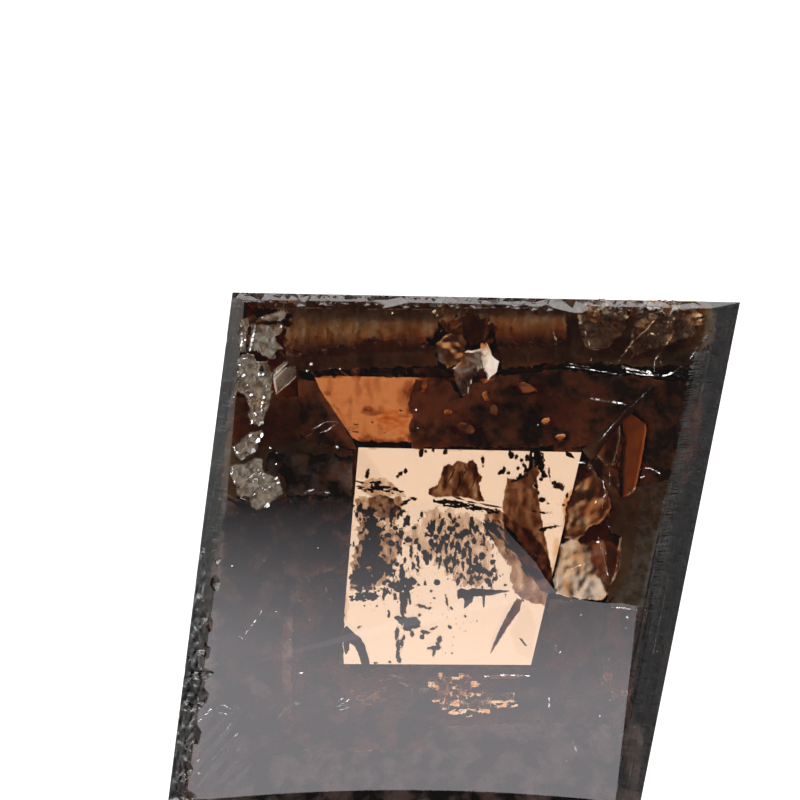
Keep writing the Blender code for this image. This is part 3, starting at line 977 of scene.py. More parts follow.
# brown translucent patches: outline, depth, most thickness, floor, tear
BROWN_PATCHES = (
    # the brown feather
    (((427, 495), (428, 490), (437, 485), (440, 476), (443, 467), (448, 464), (452, 465),
      (457.5, 461), (464, 462.5), (467, 465), (468, 461), (473, 460), (477.5, 465), (478, 473),
      (482.5, 477), (482, 482), (479, 484), (482, 495), (486, 503), (478, 503), (467, 499),
      (452, 498), (435, 499)), 1.10, 0.34, 0.08, 0.8),
    # the upright band
    (((506, 478), (519, 480), (524, 474), (531, 466), (536, 452), (544, 453), (544, 466),
      (537, 478), (539, 500), (542, 520), (547, 545), (552, 572), (556, 598), (540, 590),
      (520, 562), (505, 540), (502, 522), (502, 505)), 1.30, 0.26, 0.12, 0.8),
    # the grey-brown fracture
    (((484, 514), (500, 510), (512, 520), (530, 530), (545, 548), (553, 572), (558, 600),
      (548, 606), (532, 604), (515, 594), (509, 578), (512, 568), (500, 556), (492, 540),
      (484, 532)), 0.95, 0.20, 0.03, 2.4),
    # the spike
    (((489, 655), (493, 643), (502, 623), (510, 608), (517, 597), (523, 600), (520, 611),
      (509, 626), (499, 642), (492, 653)), 0.80, 0.36, 0.16, 0.5),
    # halos of the left grains
    (((353, 496), (362, 500), (380, 497), (400, 500), (404, 512), (396, 524), (402, 540),
      (398, 560), (386, 584), (360, 592), (349, 590), (352, 560), (358, 540), (356, 516)),
     1.80, 0.16, 0.01, 5.0),
    (((428, 510), (455, 512), (482, 520), (490, 540), (496, 566), (490, 586), (468, 586),
      (452, 576), (430, 560), (418, 548), (404, 545), (400, 530), (415, 525)),
     1.42, 0.08, 0.0, 9.0),
    (((356, 489), (368, 479), (384, 479), (402, 492), (410, 500), (392, 498), (370, 499)),
     1.98, 0.08, 0.0, 2.5),
)
for k, (points, depth, most, least, tear) in enumerate(BROWN_PATCHES):
    xs, ys = [p[0] for p in points], [p[1] for p in points]

    def body_of(x, y, f, most=most, least=least, k=k):
        edge = np.clip(f / 1.5, 0, 1)
        return edge * (least + most * fbm(x / 5.0, y / 9.0, 60 + k, 4) ** 1.5 * 1.8
                       + 0.6 * most * np.exp(-np.maximum(f, 0) / 1.4))

    sheet(STAIN, (min(xs) - 4, min(ys) - 4, max(xs) + 4, max(ys) + 4),
          ragged(points, tear, 4.0, 50 + k), depth, body_of, 0.8)

# pale cloud left of the middle, and the faint grey corner
sheet(HAZE, (364, 494, 402, 522), ragged(((368, 499), (380, 497), (392, 500), (398, 508),
      (394, 517), (380, 519), (370, 513)), 1.5, 6, 3), 1.9,
      lambda x, y, f: 0.05 * np.clip(f / 3, 0, 1) * (0.6 + fbm(x / 4, y / 4, 9)), 1.0)
sheet(STAIN, (355, 446, 392, 486), inside(((357, 449), (366, 451), (387, 484), (356, 482))),
      2.16, lambda x, y, f: 0.012 * np.clip(f / 2, 0, 1), 1.0)
sheet(STAIN, (508, 600, 540, 664), inside(((524, 600), (532, 608), (538, 625), (533, 662),
      (516, 656), (508, 632))), 1.2, lambda x, y, f: 0.010 * np.clip(f / 3, 0, 1), 1.0)

# painted glints: pale silver films laid where the light flashes back
for pts, w in (
    (((452, 497), (458, 499), (465, 501)), 2.6), (((466, 501.5), (471, 503), (478, 504)), 2.2),
    (((478, 503), (486, 505.5), (496, 507), (503, 508)), 2.4), (((486, 512), (489, 511), (492, 514)), 4.0),
    (((486, 521), (488, 520), (491, 522)), 3.0), (((381, 498), (385, 497), (390, 498.5)), 3.0),
    (((533, 458), (534, 462), (535.5, 466)), 3.0), (((532, 474), (534, 478), (536, 486)), 2.2),
    (((519, 549), (525, 552), (531, 554)), 2.2), (((532, 553), (535, 556), (538, 557)), 2.4),
    (((541, 637), (546, 641), (552, 644)), 1.6), (((551, 645), (556, 650), (560, 655)), 3.2),
    (((521, 598), (523, 600), (524, 602)), 3.0), (((366, 585), (367, 588), (368, 590)), 2.4),
    (((394, 585), (396, 587), (398, 587)), 2.2), (((470, 581), (472, 584), (471, 587)), 2.4),
):
    ribbon(PAINTED_GLINTS, pts, w, 0.55 + rng.uniform(0, 0.3), 0.03, rng, 0.2)
# streaks of light in the brown feather
for pts in (((446, 486), (452, 476), (455, 468)), ((456, 492), (460, 482), (459, 472)),
            ((470, 492), (474, 482), (476, 472), (472, 464)), ((462, 478), (466, 470), (463, 465))):
    ribbon(HAZE, pts, 1.8, 1.0, 0.02, rng, 0.3)


# ---- broken ground at the left: shallow pits with rough, crumbled floors ----
KEY_AZIMUTH, KEY_POLAR = 150.0, 55.0


def facing(polar, azimuth=KEY_AZIMUTH):
    t, a = math.radians(polar), math.radians(azimuth)
    return Vector((math.sin(t) * math.cos(a), math.sin(t) * math.sin(a), math.cos(t)))


def roof_at(x, y):
    return skin(x, y, np.zeros(x.shape))[0]


def only(*fields):
    return lambda x, y: np.minimum.reduce([f(x, y) for f in fields])


def away_from(*outlines):
    """Above nought outside the outlines."""
    fields = [ragged(o, 2.0, 5, 900 + k) for k, o in enumerate(outlines)]
    return lambda x, y: -np.maximum.reduce([f(x, y) for f in fields])


def under_table(gap, wave=0.0, size=6.0, seed=5):
    return lambda x, y: roof_at(x, y) + gap + wave * (fbm(x / size, y / size, seed, 3) - 0.5)


PITS = (
    # (outline, depth in mm, seed)
    (((254, 321), (258, 317), (267, 314), (275, 311), (284, 309), (288, 313), (285, 319),
      (278, 322), (274, 321), (264, 322), (256, 322)), 0.030, 301),
    (((239, 319), (247, 317), (250, 321), (249, 329), (246, 342), (247, 352), (239, 353),
      (238, 344), (238, 333), (239, 324)), 0.050, 302),
    (((251, 322), (257, 324), (274, 324), (283, 323), (284, 329), (282, 333), (276, 337),
      (277, 341), (285, 348), (283, 350), (277, 350), (276, 358), (273, 361), (268, 358),
      (262, 356), (257, 352), (248, 352), (249, 339)), 0.035, 303),
    (((237, 358), (242, 354), (254, 354), (256, 358), (258, 361), (267, 361), (271, 367),
      (272, 378), (273, 394), (269, 407), (265, 418), (263, 424), (258, 426), (251, 424),
      (247, 417), (248, 406), (245, 396), (238, 392), (235, 398), (232, 403), (233, 389),
      (237, 377), (236, 369)), 0.050, 304),
    (((232, 446), (239, 441), (248, 432), (262, 429), (265, 436), (259, 444), (256, 453),
      (249, 456), (242, 461), (235, 456)), 0.050, 305),
    (((229, 466), (234, 464), (242, 463), (255, 457), (262, 458), (264, 465), (265, 472),
      (272, 475), (280, 476), (281, 484), (285, 494), (276, 499), (269, 505), (258, 511),
      (251, 508), (248, 498), (236, 495), (234, 486), (229, 475)), 0.028, 306),
)
pit_solids = Bucket()
for outline, deep, seed in PITS:
    xs, ys = [p[0] for p in outline], [p[1] for p in outline]
    box = (min(xs) - 3, min(ys) - 3, max(xs) + 3, max(ys) + 3)
    edge = ragged(outline, 1.6, 3.5, seed)

    def floor(x, y, deep=deep, seed=seed):
        return deep * (0.45 + 1.0 * fbm(x / 5.0, y / 5.0, seed + 40, 3))

    sheet(pit_solids, box, edge, lambda x, y: roof_at(x, y) - 0.05,
          lambda x, y, f: 0.10 + 2.0 * floor(x, y) * np.clip(f / 1.2, 0.05, 1), 1.2, within=False)
    # crumbled ground: a dull layer with paler lumps over it
    across = (2.2, 6.5) if seed != 306 else (6.0, 3.0)
    sheet(GRIT, box, lambda x, y: edge(x, y) - 0.7,
          lambda x, y: roof_at(x, y) + floor(x, y) * (0.50 + 0.5 * (
              fbm(x / across[0], y / across[1], seed + 50, 3) - 0.5)),
          lambda x, y, f: 0.25 * floor(x, y) * np.clip(f / 1.0, 0.1, 1), 0.7, within=False)
    lumps = islands(outline, 0.56, (3.0, 5.0), 8.0, seed + 60, fade=3)
    sheet(PALE, box, lambda x, y: np.minimum(lumps(x, y), edge(x, y) - 1.0),
          lambda x, y: roof_at(x, y) + floor(x, y) * (0.16 + 0.30 * (
              fbm((x + 0.5 * y) / 2.6, (y - 0.5 * x) / 8.0, seed + 70, 3) - 0.5)),
          lambda x, y, f: 0.10 * floor(x, y) * np.clip(f / 1.5, 0.1, 1), 0.7, within=False)
cutter = bmesh.new()
pit_verts = [cutter.verts.new(v) for v in pit_solids.verts]
for f in pit_solids.faces:
    try:
        cutter.faces.new([pit_verts[i] for i in f])
    except ValueError:
        pass
bmesh.ops.remove_doubles(cutter, verts=cutter.verts, dist=0.0004)
bmesh.ops.recalc_face_normals(cutter, faces=cutter.faces)
body = carve(body, cutter)


def face_bit(x, y, w, h, lean_deg=0.0, depth=0.010, rng=random.Random(53), off=3.0, bucket=None):
    """A small clean broken face, turned so that it catches the key light."""
    a = math.radians(lean_deg)
    normal = facing(KEY_POLAR / 2 + rng.uniform(-off, off), KEY_AZIMUTH + rng.uniform(-off, off) * 2)
    centre = px(x, y, depth=depth + float(roof_at(np.array([[x]], float), np.array([[y]], float))[0, 0]))
    n = 8
    verts = []
    for i in range(n):
        t = 6.283 * (i + rng.uniform(-0.3, 0.3)) / n
        r = rng.uniform(0.75, 1.15)
        du, dv = math.cos(t) * w / 2 * r, math.sin(t) * h / 2 * r
        dx, dy = du * math.cos(a) - dv * math.sin(a), du * math.sin(a) + dv * math.cos(a)
        flat = Vector((dx * PX, -dy * PX, 0))
        flat.z = -(normal.x * flat.x + normal.y * flat.y) / normal.z
        verts.append(centre + flat)
    verts += [v - normal * 0.006 for v in verts]
    faces = [tuple(range(n))[::-1], tuple(range(n, 2 * n))]
    faces += [(i, (i + 1) % n, n + (i + 1) % n, n + i) for i in range(n)]
    (bucket or BRIGHT).add(verts, faces)


def bits(points, w, jag=0.35, gap=0.0, rng=random.Random(59)):
    """Broken faces strung along a line."""
    for (ax, ay), (bx, by) in zip(points, points[1:]):
        length = math.hypot(bx - ax, by - ay)
        n = max(1, round(length / (w * 1.3)))
        lean_deg = math.degrees(math.atan2(by - ay, bx - ax))
        for i in range(n):
            if rng.random() < gap:
                continue
            t = (i + 0.5) / n
            face_bit(ax + (bx - ax) * t + rng.uniform(-jag, jag),
                     ay + (by - ay) * t + rng.uniform(-jag, jag),
                     length / n * 1.15, w * rng.uniform(0.7, 1.2), lean_deg, rng=rng, off=4.0)


bits(((254.5, 323.5), (253, 332), (251, 342), (249, 351)), 4.2, 0.2)
bits(((240, 321.5), (242, 327), (241.5, 336), (241, 347)), 2.6, 0.6, 0.35)
bits(((239.5, 359), (247, 358.5)), 1.6)
bits(((237, 372), (243, 372)), 1.5)
bits(((256, 372), (259, 375.5), (264, 374)), 2.6)
bits(((258.5, 379), (262.5, 379)), 2.0)
bits(((235.5, 388), (233.5, 395), (232.5, 404)), 2.6, 0.3, 0.15)
bits(((264, 396), (262, 404), (260.5, 411)), 2.4, 0.3, 0.2)
bits(((278, 320.5), (285, 318)), 1.6)
bits(((273, 372.5), (280, 367), (287, 361.5)), 3.4, 0.1)
bits(((232, 467), (230.5, 474)), 3.0)
bits(((240, 460), (246, 458)), 2.0)
bits(((233.6, 446), (235, 451), (238, 453)), 2.2)
for x, y, w, h, a in (
    (243, 375, 5, 3.4, 0), (251, 395, 4, 3, -20), (254.5, 414.5, 5, 4, 0), (251, 422, 5, 5, 30),
    (260.5, 423.5, 7, 4, -30), (256.5, 440.5, 8.5, 5, -15), (261.5, 435, 3.6, 6, 10),
    (251.5, 450.7, 9, 5.5, -20), (250, 435.5, 5, 3, -30), (223.5, 475, 4, 3, 0),
    (275.5, 478, 4.5, 4, 0), (278, 482.5, 4, 2.6, 0), (265, 505.7, 10, 5, -15),
    (253.5, 494.5, 4, 2, -20), (246.5, 499.6, 3, 2, 0), (237, 513, 3, 2, 0), (280.5, 326.5, 4, 3, 0),
    (287, 312.5, 3, 2.6, 0), (262, 317, 3, 2, -20), (234, 481, 3, 6, 10), (220.7, 498.6, 3.4, 2.2, 0),
    (220.7, 502.9, 2.6, 1.6, 0), (245, 340, 2, 3, 0), (247, 385, 2.4, 1.8, 0), (266, 386, 2, 3, 0),
    (239, 365, 3, 2, 0), (269, 345, 2.2, 1.6, 0), (258, 470, 3, 1.6, -40), (246, 480, 3.6, 1.4, -45),
    (241, 487, 3.0, 1.2, -45), (264, 490, 3, 1.4, -30), (263, 478, 3, 1.6, -30),
):
    face_bit(x, y, w, h, a)
# fibres over the lower patch
for k in range(16):
    rng = random.Random(400 + k)
    x0, y0 = rng.uniform(236, 268), rng.uniform(472, 502)
    bits(((x0, y0), (x0 + rng.uniform(5, 12), y0 - rng.uniform(4, 10))), 0.9, 0.2, 0.5, rng)
# painted shade: a dark carbon plate where the hole looks dark, and dark seams
spot(CARBON_AND_SHADE, 261.5, 369, 6.5, 6, random.Random(5), depth=0.012, lean_deg=20, thin=0.15)
ribbon(CARBON_AND_SHADE, ((250.5, 319), (254, 319.5), (258, 318.5)), [0.6, 3.4, 0.8], 0.004, 0.008)
ribbon(CARBON_AND_SHADE, ((268, 507), (276, 501.5), (286, 497.2), (300, 495)), [0.4, 1.8, 1.6, 0.4], 0.02, 0.01)
ribbon(CARBON_AND_SHADE, ((234, 496), (240, 499), (246, 502)), [0.4, 2.4, 0.8], 0.02, 0.01)


def plate(x, y, w, h, lean_deg=0.0, depth=0.03, rng=random.Random(61), off=3.0, frost=0.10):
    """A flat sealed gap, leaning so that it flashes."""
    a = math.radians(lean_deg)
    normal = facing(9.9 + rng.uniform(-off, off) * 0.5, KEY_AZIMUTH + rng.uniform(-off, off) * 4)
    top = float(roof_at(np.array([[x]], float), np.array([[y]], float))[0, 0])
    reach = max(w, h) / 2 * PX * 0.2
    centre = px(x, y, depth=depth + top + reach)
    verts = []
    n = 6
    for i in range(n):
        t = 6.283 * (i + rng.uniform(-0.25, 0.25)) / n
        r = rng.uniform(0.75, 1.15)
        du, dv = math.cos(t) * w / 2 * r, math.sin(t) * h / 2 * r
        dx, dy = du * math.cos(a) - dv * math.sin(a), du * math.sin(a) + dv * math.cos(a)
        flat = Vector((dx * PX, -dy * PX, 0))
        flat.z = -(normal.x * flat.x + normal.y * flat.y) / normal.z
        verts.append(centre + flat)
    verts += [v - normal * 0.004 for v in verts]
    faces = [tuple(range(n))[::-1], tuple(range(n, 2 * n))]
    faces += [(i, (i + 1) % n, n + (i + 1) % n, n + i) for i in range(n)]
    VOIDS.frost = frost
    VOIDS.add(verts, faces)
    VOIDS.frost = 0.0


# ---- bands of stain that dull the light coming up beside the window --------
def strewn(level, gain, stretch, seed, most, least=0.0):
    """Thickness by noise: nothing below level, then rising."""
    return lambda x, y, f: np.clip(f / 3, 0, 1) * (
        least + np.clip((fbm(x / stretch[0], y / stretch[1], seed, 5) - level) * gain, 0, 1) * most)


def hug(gap=0.10, wave=0.08, seed=7):
    """Depth a little above the lower facets."""
    def depth(x, y):
        ground = skin(x, y, np.full(x.shape, 1.0))[1]
        return ground - gap - wave * fbm(x / 14.0, y / 14.0, seed)
    return depth


def holes(items, spread=1.0):
    """0 near the listed ovals, 1 away from them."""
    def factor(x, y):
        keep = np.ones(x.shape)
        for gx, gy, w, h, lean_deg in items:
            a = math.radians(lean_deg)
            u, v = x - gx, y - gy
            u, v = u * math.cos(a) + v * math.sin(a), -u * math.sin(a) + v * math.cos(a)
            keep *= 1.0 - np.exp(-((u / (w / 2 * spread)) ** 2 + (v / (h / 2 * spread)) ** 2) ** 1.5)
        return keep
    return factor


# the cloud right of the orange facet, with its red-orange spots left clear
CLOUD_SPOTS = holes((
    (466, 428, 22, 11, 20), (494, 410, 9, 13, 0), (486, 395, 9, 9, 30), (527, 388, 26, 10, 25),
    (424, 385, 7, 10, 0), (545, 420, 12, 8, 0), (448, 412, 10, 6, 0), (560, 437, 14, 7, -20),
))
CLOUD = ((417, 376), (470, 374), (520, 371), (560, 366), (620, 374), (655, 379), (626, 410),
         (600, 440), (588, 452), (560, 450), (520, 449), (470, 451), (415, 450), (413, 441),
         (410, 425), (407, 412), (406, 403), (412, 398), (416, 390))
base_cloud = strewn(0.38, 3.4, (12.0, 9.0), 70, 0.14, 0.05)
sheet(STAIN, (400, 362, 662, 456), ragged(CLOUD, 2.5, 5, 71), hug(0.16),
      lambda x, y, f: base_cloud(x, y, f) * (0.08 + 0.92 * CLOUD_SPOTS(x, y)), 1.1)

# notches and mottling of the orange facet itself
sheet(STAIN, (296, 372, 420, 452), both(
    inside(((299, 374), (346, 374), (343, 380), (320, 381), (300, 379))),
    torn(grains(((357, 379, 9, 10, 0), (378, 380, 8, 8, 0), (398, 379, 6, 7, 0),
                 (367, 438, 14, 8, 20), (372, 446, 26, 10, 8), (362, 437, 6, 9, 0),
                 (404, 395, 5, 16, 0), (408, 412, 6, 14, 0), (410, 438, 8, 20, 0),
                 (325, 407, 16, 6, 40))), 3.0, 4, 72)),
      1.75, lambda x, y, f: 0.13 * np.clip(f / 4, 0, 1), 1.0)
sheet(STAIN, (296, 374, 420, 452), islands(((299, 377), (418, 377), (410, 450), (352, 450),
      (330, 420)), 0.50, (7, 16), 12, 73), 1.80, dome(0.010, 0.035), 1.2)

# top band: dark below, thinner above, streaked up and down
TOP = ((236, 299), (330, 299), (480, 302), (640, 303), (700, 304), (690, 340), (660, 372),
       (560, 368), (520, 376), (300, 378), (262, 372), (240, 330))
top_streaks = strewn(0.42, 3.0, (3.5, 26.0), 75, 0.07, 0.0)
top_lumps = strewn(0.46, 3.5, (15.0, 11.0), 77, 0.11, 0.0)
sheet(STAIN, (230, 296, 706, 384), ragged(TOP, 2.0, 6, 76), 0.03,
      lambda x, y, f: (top_streaks(x, y, f) + top_lumps(x, y, f))
      * (0.25 + 0.75 * np.clip((352 - y) / 14.0, 0, 1)), 1.2)

# left middle
LEFT_MID = ((225, 400), (296, 378), (312, 392), (342, 426), (357, 452), (352, 500), (350, 600),
            (342, 664), (300, 700), (215, 700), (212, 560), (222, 470))
left_lumps = strewn(0.46, 3.0, (11.0, 14.0), 80, 0.07, 0.0)
sheet(STAIN, (205, 374, 360, 706), ragged(LEFT_MID, 2.0, 6, 81), hug(0.12), left_lumps, 1.3)

# the whole foot of the stone below the window, with glints left open
FOOT_GLINTS = holes((
    (382, 690, 74, 40, 0), (393, 680, 32, 5, 0), (385, 698, 26, 6, 8), (451, 682, 24, 13, 0), (442, 706, 8, 12, 0),
    (479, 704, 22, 14, 15), (500, 700, 12, 10, 0), (507, 677, 44, 5, -5), (425, 690, 12, 5, 0),
    (204, 778, 9, 7, 0), (432, 676, 10, 4, 0), (360, 690, 8, 4, 0),
))
FOOT = ((196, 690), (250, 672), (342, 669), (440, 668), (540, 668), (560, 640), (640, 606),
        (668, 612), (640, 720), (630, 812), (180, 812))
foot_lumps = strewn(0.40, 3.0, (10.0, 8.0), 84, 0.07, 0.01)
sheet(STAIN, (176, 600, 672, 815), lambda x, y: np.minimum(
          ragged(FOOT, 2.0, 6, 85)(x, y), np.where(x > 430, 728, 750) - y), hug(0.14),
      lambda x, y, f: foot_lumps(x, y, f) * (0.04 + 0.96 * FOOT_GLINTS(x, y)), 1.4)
sheet(STAIN, (176, 740, 672, 815), lambda x, y: np.minimum(
          ragged(FOOT, 2.0, 6, 85)(x, y),
          y - np.where(x > 430, 722, 750) - 6 * fbm(x / 9.0, y / 9.0, 4)), 0.12,
      lambda x, y, f: foot_lumps(x, y, f) * (0.04 + 0.96 * FOOT_GLINTS(x, y)), 1.4)

# right of the window: the dull ground about the bright feather
RIGHT_MID = ((592, 452), (628, 412), (655, 386), (694, 392), (688, 440), (676, 520), (664, 606),
             (640, 612), (600, 604), (556, 596), (566, 560), (570, 520), (580, 470))
RIGHT_OPEN = holes((
    (600, 560, 44, 62, 6), (598, 590, 36, 24, 5), (636, 455, 16, 64, 4), (606, 432, 20, 30, 40),
    (600, 500, 30, 50, 0),
), 0.9)
right_lumps = strewn(0.42, 3.0, (10.0, 16.0), 88, 0.07, 0.01)
sheet(STAIN, (550, 380, 700, 616), ragged(RIGHT_MID, 2.0, 6, 89), hug(0.12),
      lambda x, y, f: right_lumps(x, y, f) * (0.10 + 0.90 * RIGHT_OPEN(x, y)), 1.2)


# ---- feathers: cracks that throw the light sideways ------------------------
def feather(points, towards, slope, depth0, wave=0.05, size=16.0, tear=1.5, thin=0.012,
            step=1.0, seed=1, stretch=1.0, frost=0.0, period=0.0, warp=6.0):
    """An air-thin crack falling away towards an azimuth (0 right, 90 up).

    With a period the crack goes down in steps, like shingles.
    """
    a = math.radians(towards)
    dx, dy = math.cos(a), -math.sin(a)
    xs, ys = [p[0] for p in points], [p[1] for p in points]
    start = min(p[0] * dx + p[1] * dy for p in points)

    def depth(x, y):
        u, v = x * dx + y * dy, x * dy - y * dx
        along = u - start
        if period:
            along = along + warp * (fbm(u / 14.0, v / 14.0, seed + 9, 3) - 0.5) * 2
            turn = np.floor(along / period)
            along = along - turn * period + 2.0 * np.sin(turn * 2.4)
        return depth0 + slope * along * PX + wave * (
            fbm(u / size, v / (size * stretch), seed, 2) - 0.5)

    VOIDS.frost = frost
    sheet(VOIDS, (min(xs) - 3, min(ys) - 3, max(xs) + 3, max(ys) + 3),
          ragged(points, tear, 4, seed + 5), depth,
          lambda x, y, f: thin * np.clip(f / 2, 0, 1) + 0.002, step)
    VOIDS.frost = 0.0


def flat_patch(bucket, points, depth, thick=0.02, tear=1.5, seed=1, bump=0.03, size=7.0,
               step=1.0, grain=4.0):
    """A film of something in the crystal, gently uneven."""
    xs, ys = [p[0] for p in points], [p[1] for p in points]
    sheet(bucket, (min(xs) - 3, min(ys) - 3, max(xs) + 3, max(ys) + 3),
          ragged(points, tear, grain, seed),
          lambda x, y: depth + bump * (fbm(x / size, y / size, seed, 3) - 0.5),
          lambda x, y, f: thick * np.clip(f / 2, 0, 1) + 0.002, step)


def tint(bucket, points, depth, most, seed=1, size=(8.0, 8.0), tear=2.0, level=0.35, gain=3.0,
         least=0.0, step=1.1, but=None):
    """A coloured film of uneven strength."""
    xs, ys = [p[0] for p in points], [p[1] for p in points]
    field = ragged(points, tear, 5, seed)
    if but:
        field = only(field, but)
    sheet(bucket, (min(xs) - 3, min(ys) - 3, max(xs) + 3, max(ys) + 3),
          field, depth, strewn(level, gain, size, seed + 1, most, least), step)


# the big bright feather right of the window: lower half, then the redder top
FLARES = away_from(
    ((589, 578), (600, 580), (602, 594), (594, 600), (586, 592)),
    ((560, 540), (572, 540), (574, 547), (564, 549)), ((553, 578), (561, 578), (562, 594), (554, 594)),
    ((574, 576), (586, 580), (584, 598), (574, 600)), ((602, 546), (610, 544), (606, 560)))
feather(((560, 545), (570, 538), (584, 545), (600, 540), (612, 536), (621, 538), (618, 566),
         (610, 592), (601, 601), (588, 600), (573, 598), (555, 594), (553, 580)),
        15, 1.75, 0.30, 0.035, 12, 1.5, step=0.8, seed=101, frost=0.17)
tint(RUST, ((552, 536), (622, 534), (620, 570), (604, 604), (552, 598)), 0.12, 0.05, 201,
     (7, 9), least=0.012, but=FLARES)
tint(STAIN, ((552, 536), (622, 534), (624, 560), (604, 580), (552, 584)), 0.18, 0.03, 202,
     (6, 8), level=0.42, but=FLARES)
feather(((567, 501), (580, 482), (592, 470), (606, 490), (612, 510), (604, 520), (590, 528),
         (578, 540), (564, 538)), 20, 1.7, 0.30, 0.05, 12, 2.5, step=0.8, seed=104, frost=0.24)
tint(RUST, ((562, 500), (590, 465), (612, 490), (622, 512), (604, 536), (562, 542)), 0.12, 0.08, 203,
     (8, 10), least=0.05)
tint(STAIN, ((562, 500), (590, 465), (612, 490), (622, 512), (604, 536), (562, 542)), 0.20, 0.04, 205,
     (7, 7), level=0.42)
# top right, golden, in shingles leaning to the back
feather(((632, 304), (660, 299), (690, 301), (706, 312), (705, 326), (696, 338), (672, 346),
         (650, 352), (632, 358), (628, 336)), 60, 1.35, 0.14, 0.03, 20, 3.5, step=0.8, seed=107,
        frost=0.31, period=27.0, warp=13.0)
feather(((572, 302), (600, 299), (630, 302), (626, 326), (618, 342), (602, 350), (584, 353),
         (570, 346), (578, 330)), 115, 1.25, 0.16, 0.03, 20, 3.5, step=0.8, seed=109, frost=0.32,
        period=30.0, warp=13.0)
tint(RUST, ((564, 298), (708, 299), (704, 344), (640, 362), (580, 358)), 0.06, 0.07, 207, (7, 12),
     least=0.025)
tint(STAIN, ((564, 298), (708, 299), (704, 344), (640, 362), (580, 358)), 0.10, 0.05, 209, (10, 14),
     level=0.46)
# streaky golden ground along the back
feather(((242, 301), (330, 300), (440, 301), (440, 330), (420, 350), (380, 340), (350, 347),
         (310, 354), (290, 352), (286, 334), (290, 314), (262, 306)), 90, 0.75, 0.14, 0.03, 22, 9.0,
        seed=112, stretch=0.3, frost=0.45)
feather(((443, 301), (570, 302), (572, 330), (560, 345), (500, 344), (490, 320), (470, 312),
         (450, 322), (443, 330)), 90, 0.8, 0.14, 0.03, 22, 9.0,
        seed=115, stretch=0.4, frost=0.45)
tint(RUST, ((236, 298), (572, 298), (572, 348), (500, 350), (440, 352), (300, 358), (280, 350)),
     0.06, 0.09, 211, (4, 18), level=0.38, least=0.07)
tint(STAIN, ((236, 298), (572, 298), (572, 348), (500, 350), (440, 352), (300, 358), (280, 350)),
     0.10, 0.12, 218, (6, 14), level=0.40, least=0.0)
for outline, seed in (
    (((284, 340), (330, 346), (372, 338), (436, 346), (438, 366), (300, 371), (286, 362)), 212),
    (((498, 340), (570, 342), (590, 350), (640, 358), (700, 345), (704, 362), (655, 366),
      (566, 362), (502, 370)), 213),
):
    flat_patch(GOLD_AND_GLINTS, outline, 0.55, seed=seed, tear=3.0)
tint(STAIN, ((284, 340), (372, 338), (570, 342), (700, 345), (704, 364), (566, 364), (296, 372)),
     0.10, 0.10, 214, (11, 8), level=0.46)
tint(STAIN, ((244, 302), (440, 302), (566, 303), (566, 366), (480, 362), (440, 350), (300, 372)),
     0.05, 0.20, 216, (15, 10), level=0.47, gain=3.6)
tint(STAIN, ((286, 300), (440, 300), (566, 301), (566, 334), (440, 334), (300, 336)), 0.07, 0.16,
     219, (13, 26), level=0.46, gain=4.0)
# the pale drop at the top and its neighbours
feather(((452, 369), (460, 362), (464, 352), (480, 350), (486, 346), (487, 358), (480, 372),
         (472, 380), (468, 394), (462, 396), (456, 384)), 110, 1.6, 0.25, 0.012, 9, 1.0, seed=118,
        step=0.7, frost=0.10)
feather(((480, 346), (486, 340), (492, 356), (499, 362), (497, 372), (488, 380), (483, 368)),
        100, 1.7, 0.25, 0.012, 9, 1.0, seed=120, step=0.7, frost=0.10)
feather(((436, 344), (452, 330), (464, 324), (466, 344), (460, 362), (448, 368), (438, 360)),
        100, 1.3, 0.40, 0.07, 12, 1.5, seed=122, frost=0.2)
tint(RUST, ((434, 340), (464, 320), (468, 366), (446, 370)), 0.14, 0.12, 215, least=0.04)
tint(STAIN, ((450, 360), (486, 344), (488, 376), (460, 398)), 0.16, 0.04, 217, least=0.012)
flat_patch(GOLD_AND_GLINTS, ((462, 318), (474, 308), (486, 318), (484, 340), (470, 346), (462, 336)), 0.5, seed=219)
# grey-brown ground right of the window's foot
feather(((548, 600), (580, 600), (604, 606), (602, 630), (590, 652), (570, 656), (558, 640),
         (548, 622)), -40, 0.9, 0.30, 0.08, 14, 2.5, seed=124, frost=0.33)
tint(STAIN, ((546, 598), (606, 602), (604, 632), (570, 660), (546, 626)), 0.12, 0.08, 221, least=0.02)
# pinkish patch under the arc, and the flat pale block at upper left
feather(((671, 374), (682, 368), (701, 360), (702, 372), (697, 381)), 40, 1.5, 0.10, 0.02, 14, 0.6,
        seed=126, step=0.7, frost=0.25)
feather(((273, 379), (286, 367), (296, 366), (296, 377), (290, 383), (276, 395)), 150, 1.5, 0.12,
        0.01, 16, 0.5, seed=128, step=0.7, frost=0.2)
feather(((270, 374), (285, 361), (288, 363), (273, 378)), 150, 1.4, 0.12, 0.01, 16, 0.3, seed=129,
        step=0.6, frost=0.12)
tint(RUST, ((270, 360), (298, 362), (298, 380), (274, 398)), 0.05, 0.02, 223, least=0.008)
# orange flecks just below the window
def flecks(outline, level, stretch, towards, slope, depth0, wave, size, seed, frost=0.12, step=0.7):
    """A falling crack broken into flecks."""
    a = math.radians(towards)
    dx, dy = math.cos(a), -math.sin(a)
    xs, ys = [p[0] for p in outline], [p[1] for p in outline]

    def depth(x, y):
        # it starts again every few pixels, so that it stays near its level
        along = (x * dx + y * dy + 5.0 * fbm(x / 9.0, y / 9.0, seed + 3)) % 9.0
        return depth0 + slope * along * PX + wave * (fbm(x / size, y / size, seed, 2) - 0.5)

    VOIDS.frost = frost
    sheet(VOIDS, (min(xs) - 3, min(ys) - 3, max(xs) + 3, max(ys) + 3),
          islands(outline, level, stretch, 30.0, seed + 5, fade=4), depth,
          lambda x, y, f: 0.010 * np.clip(f / 2, 0, 1) + 0.002, step)
    VOIDS.frost = 0.0


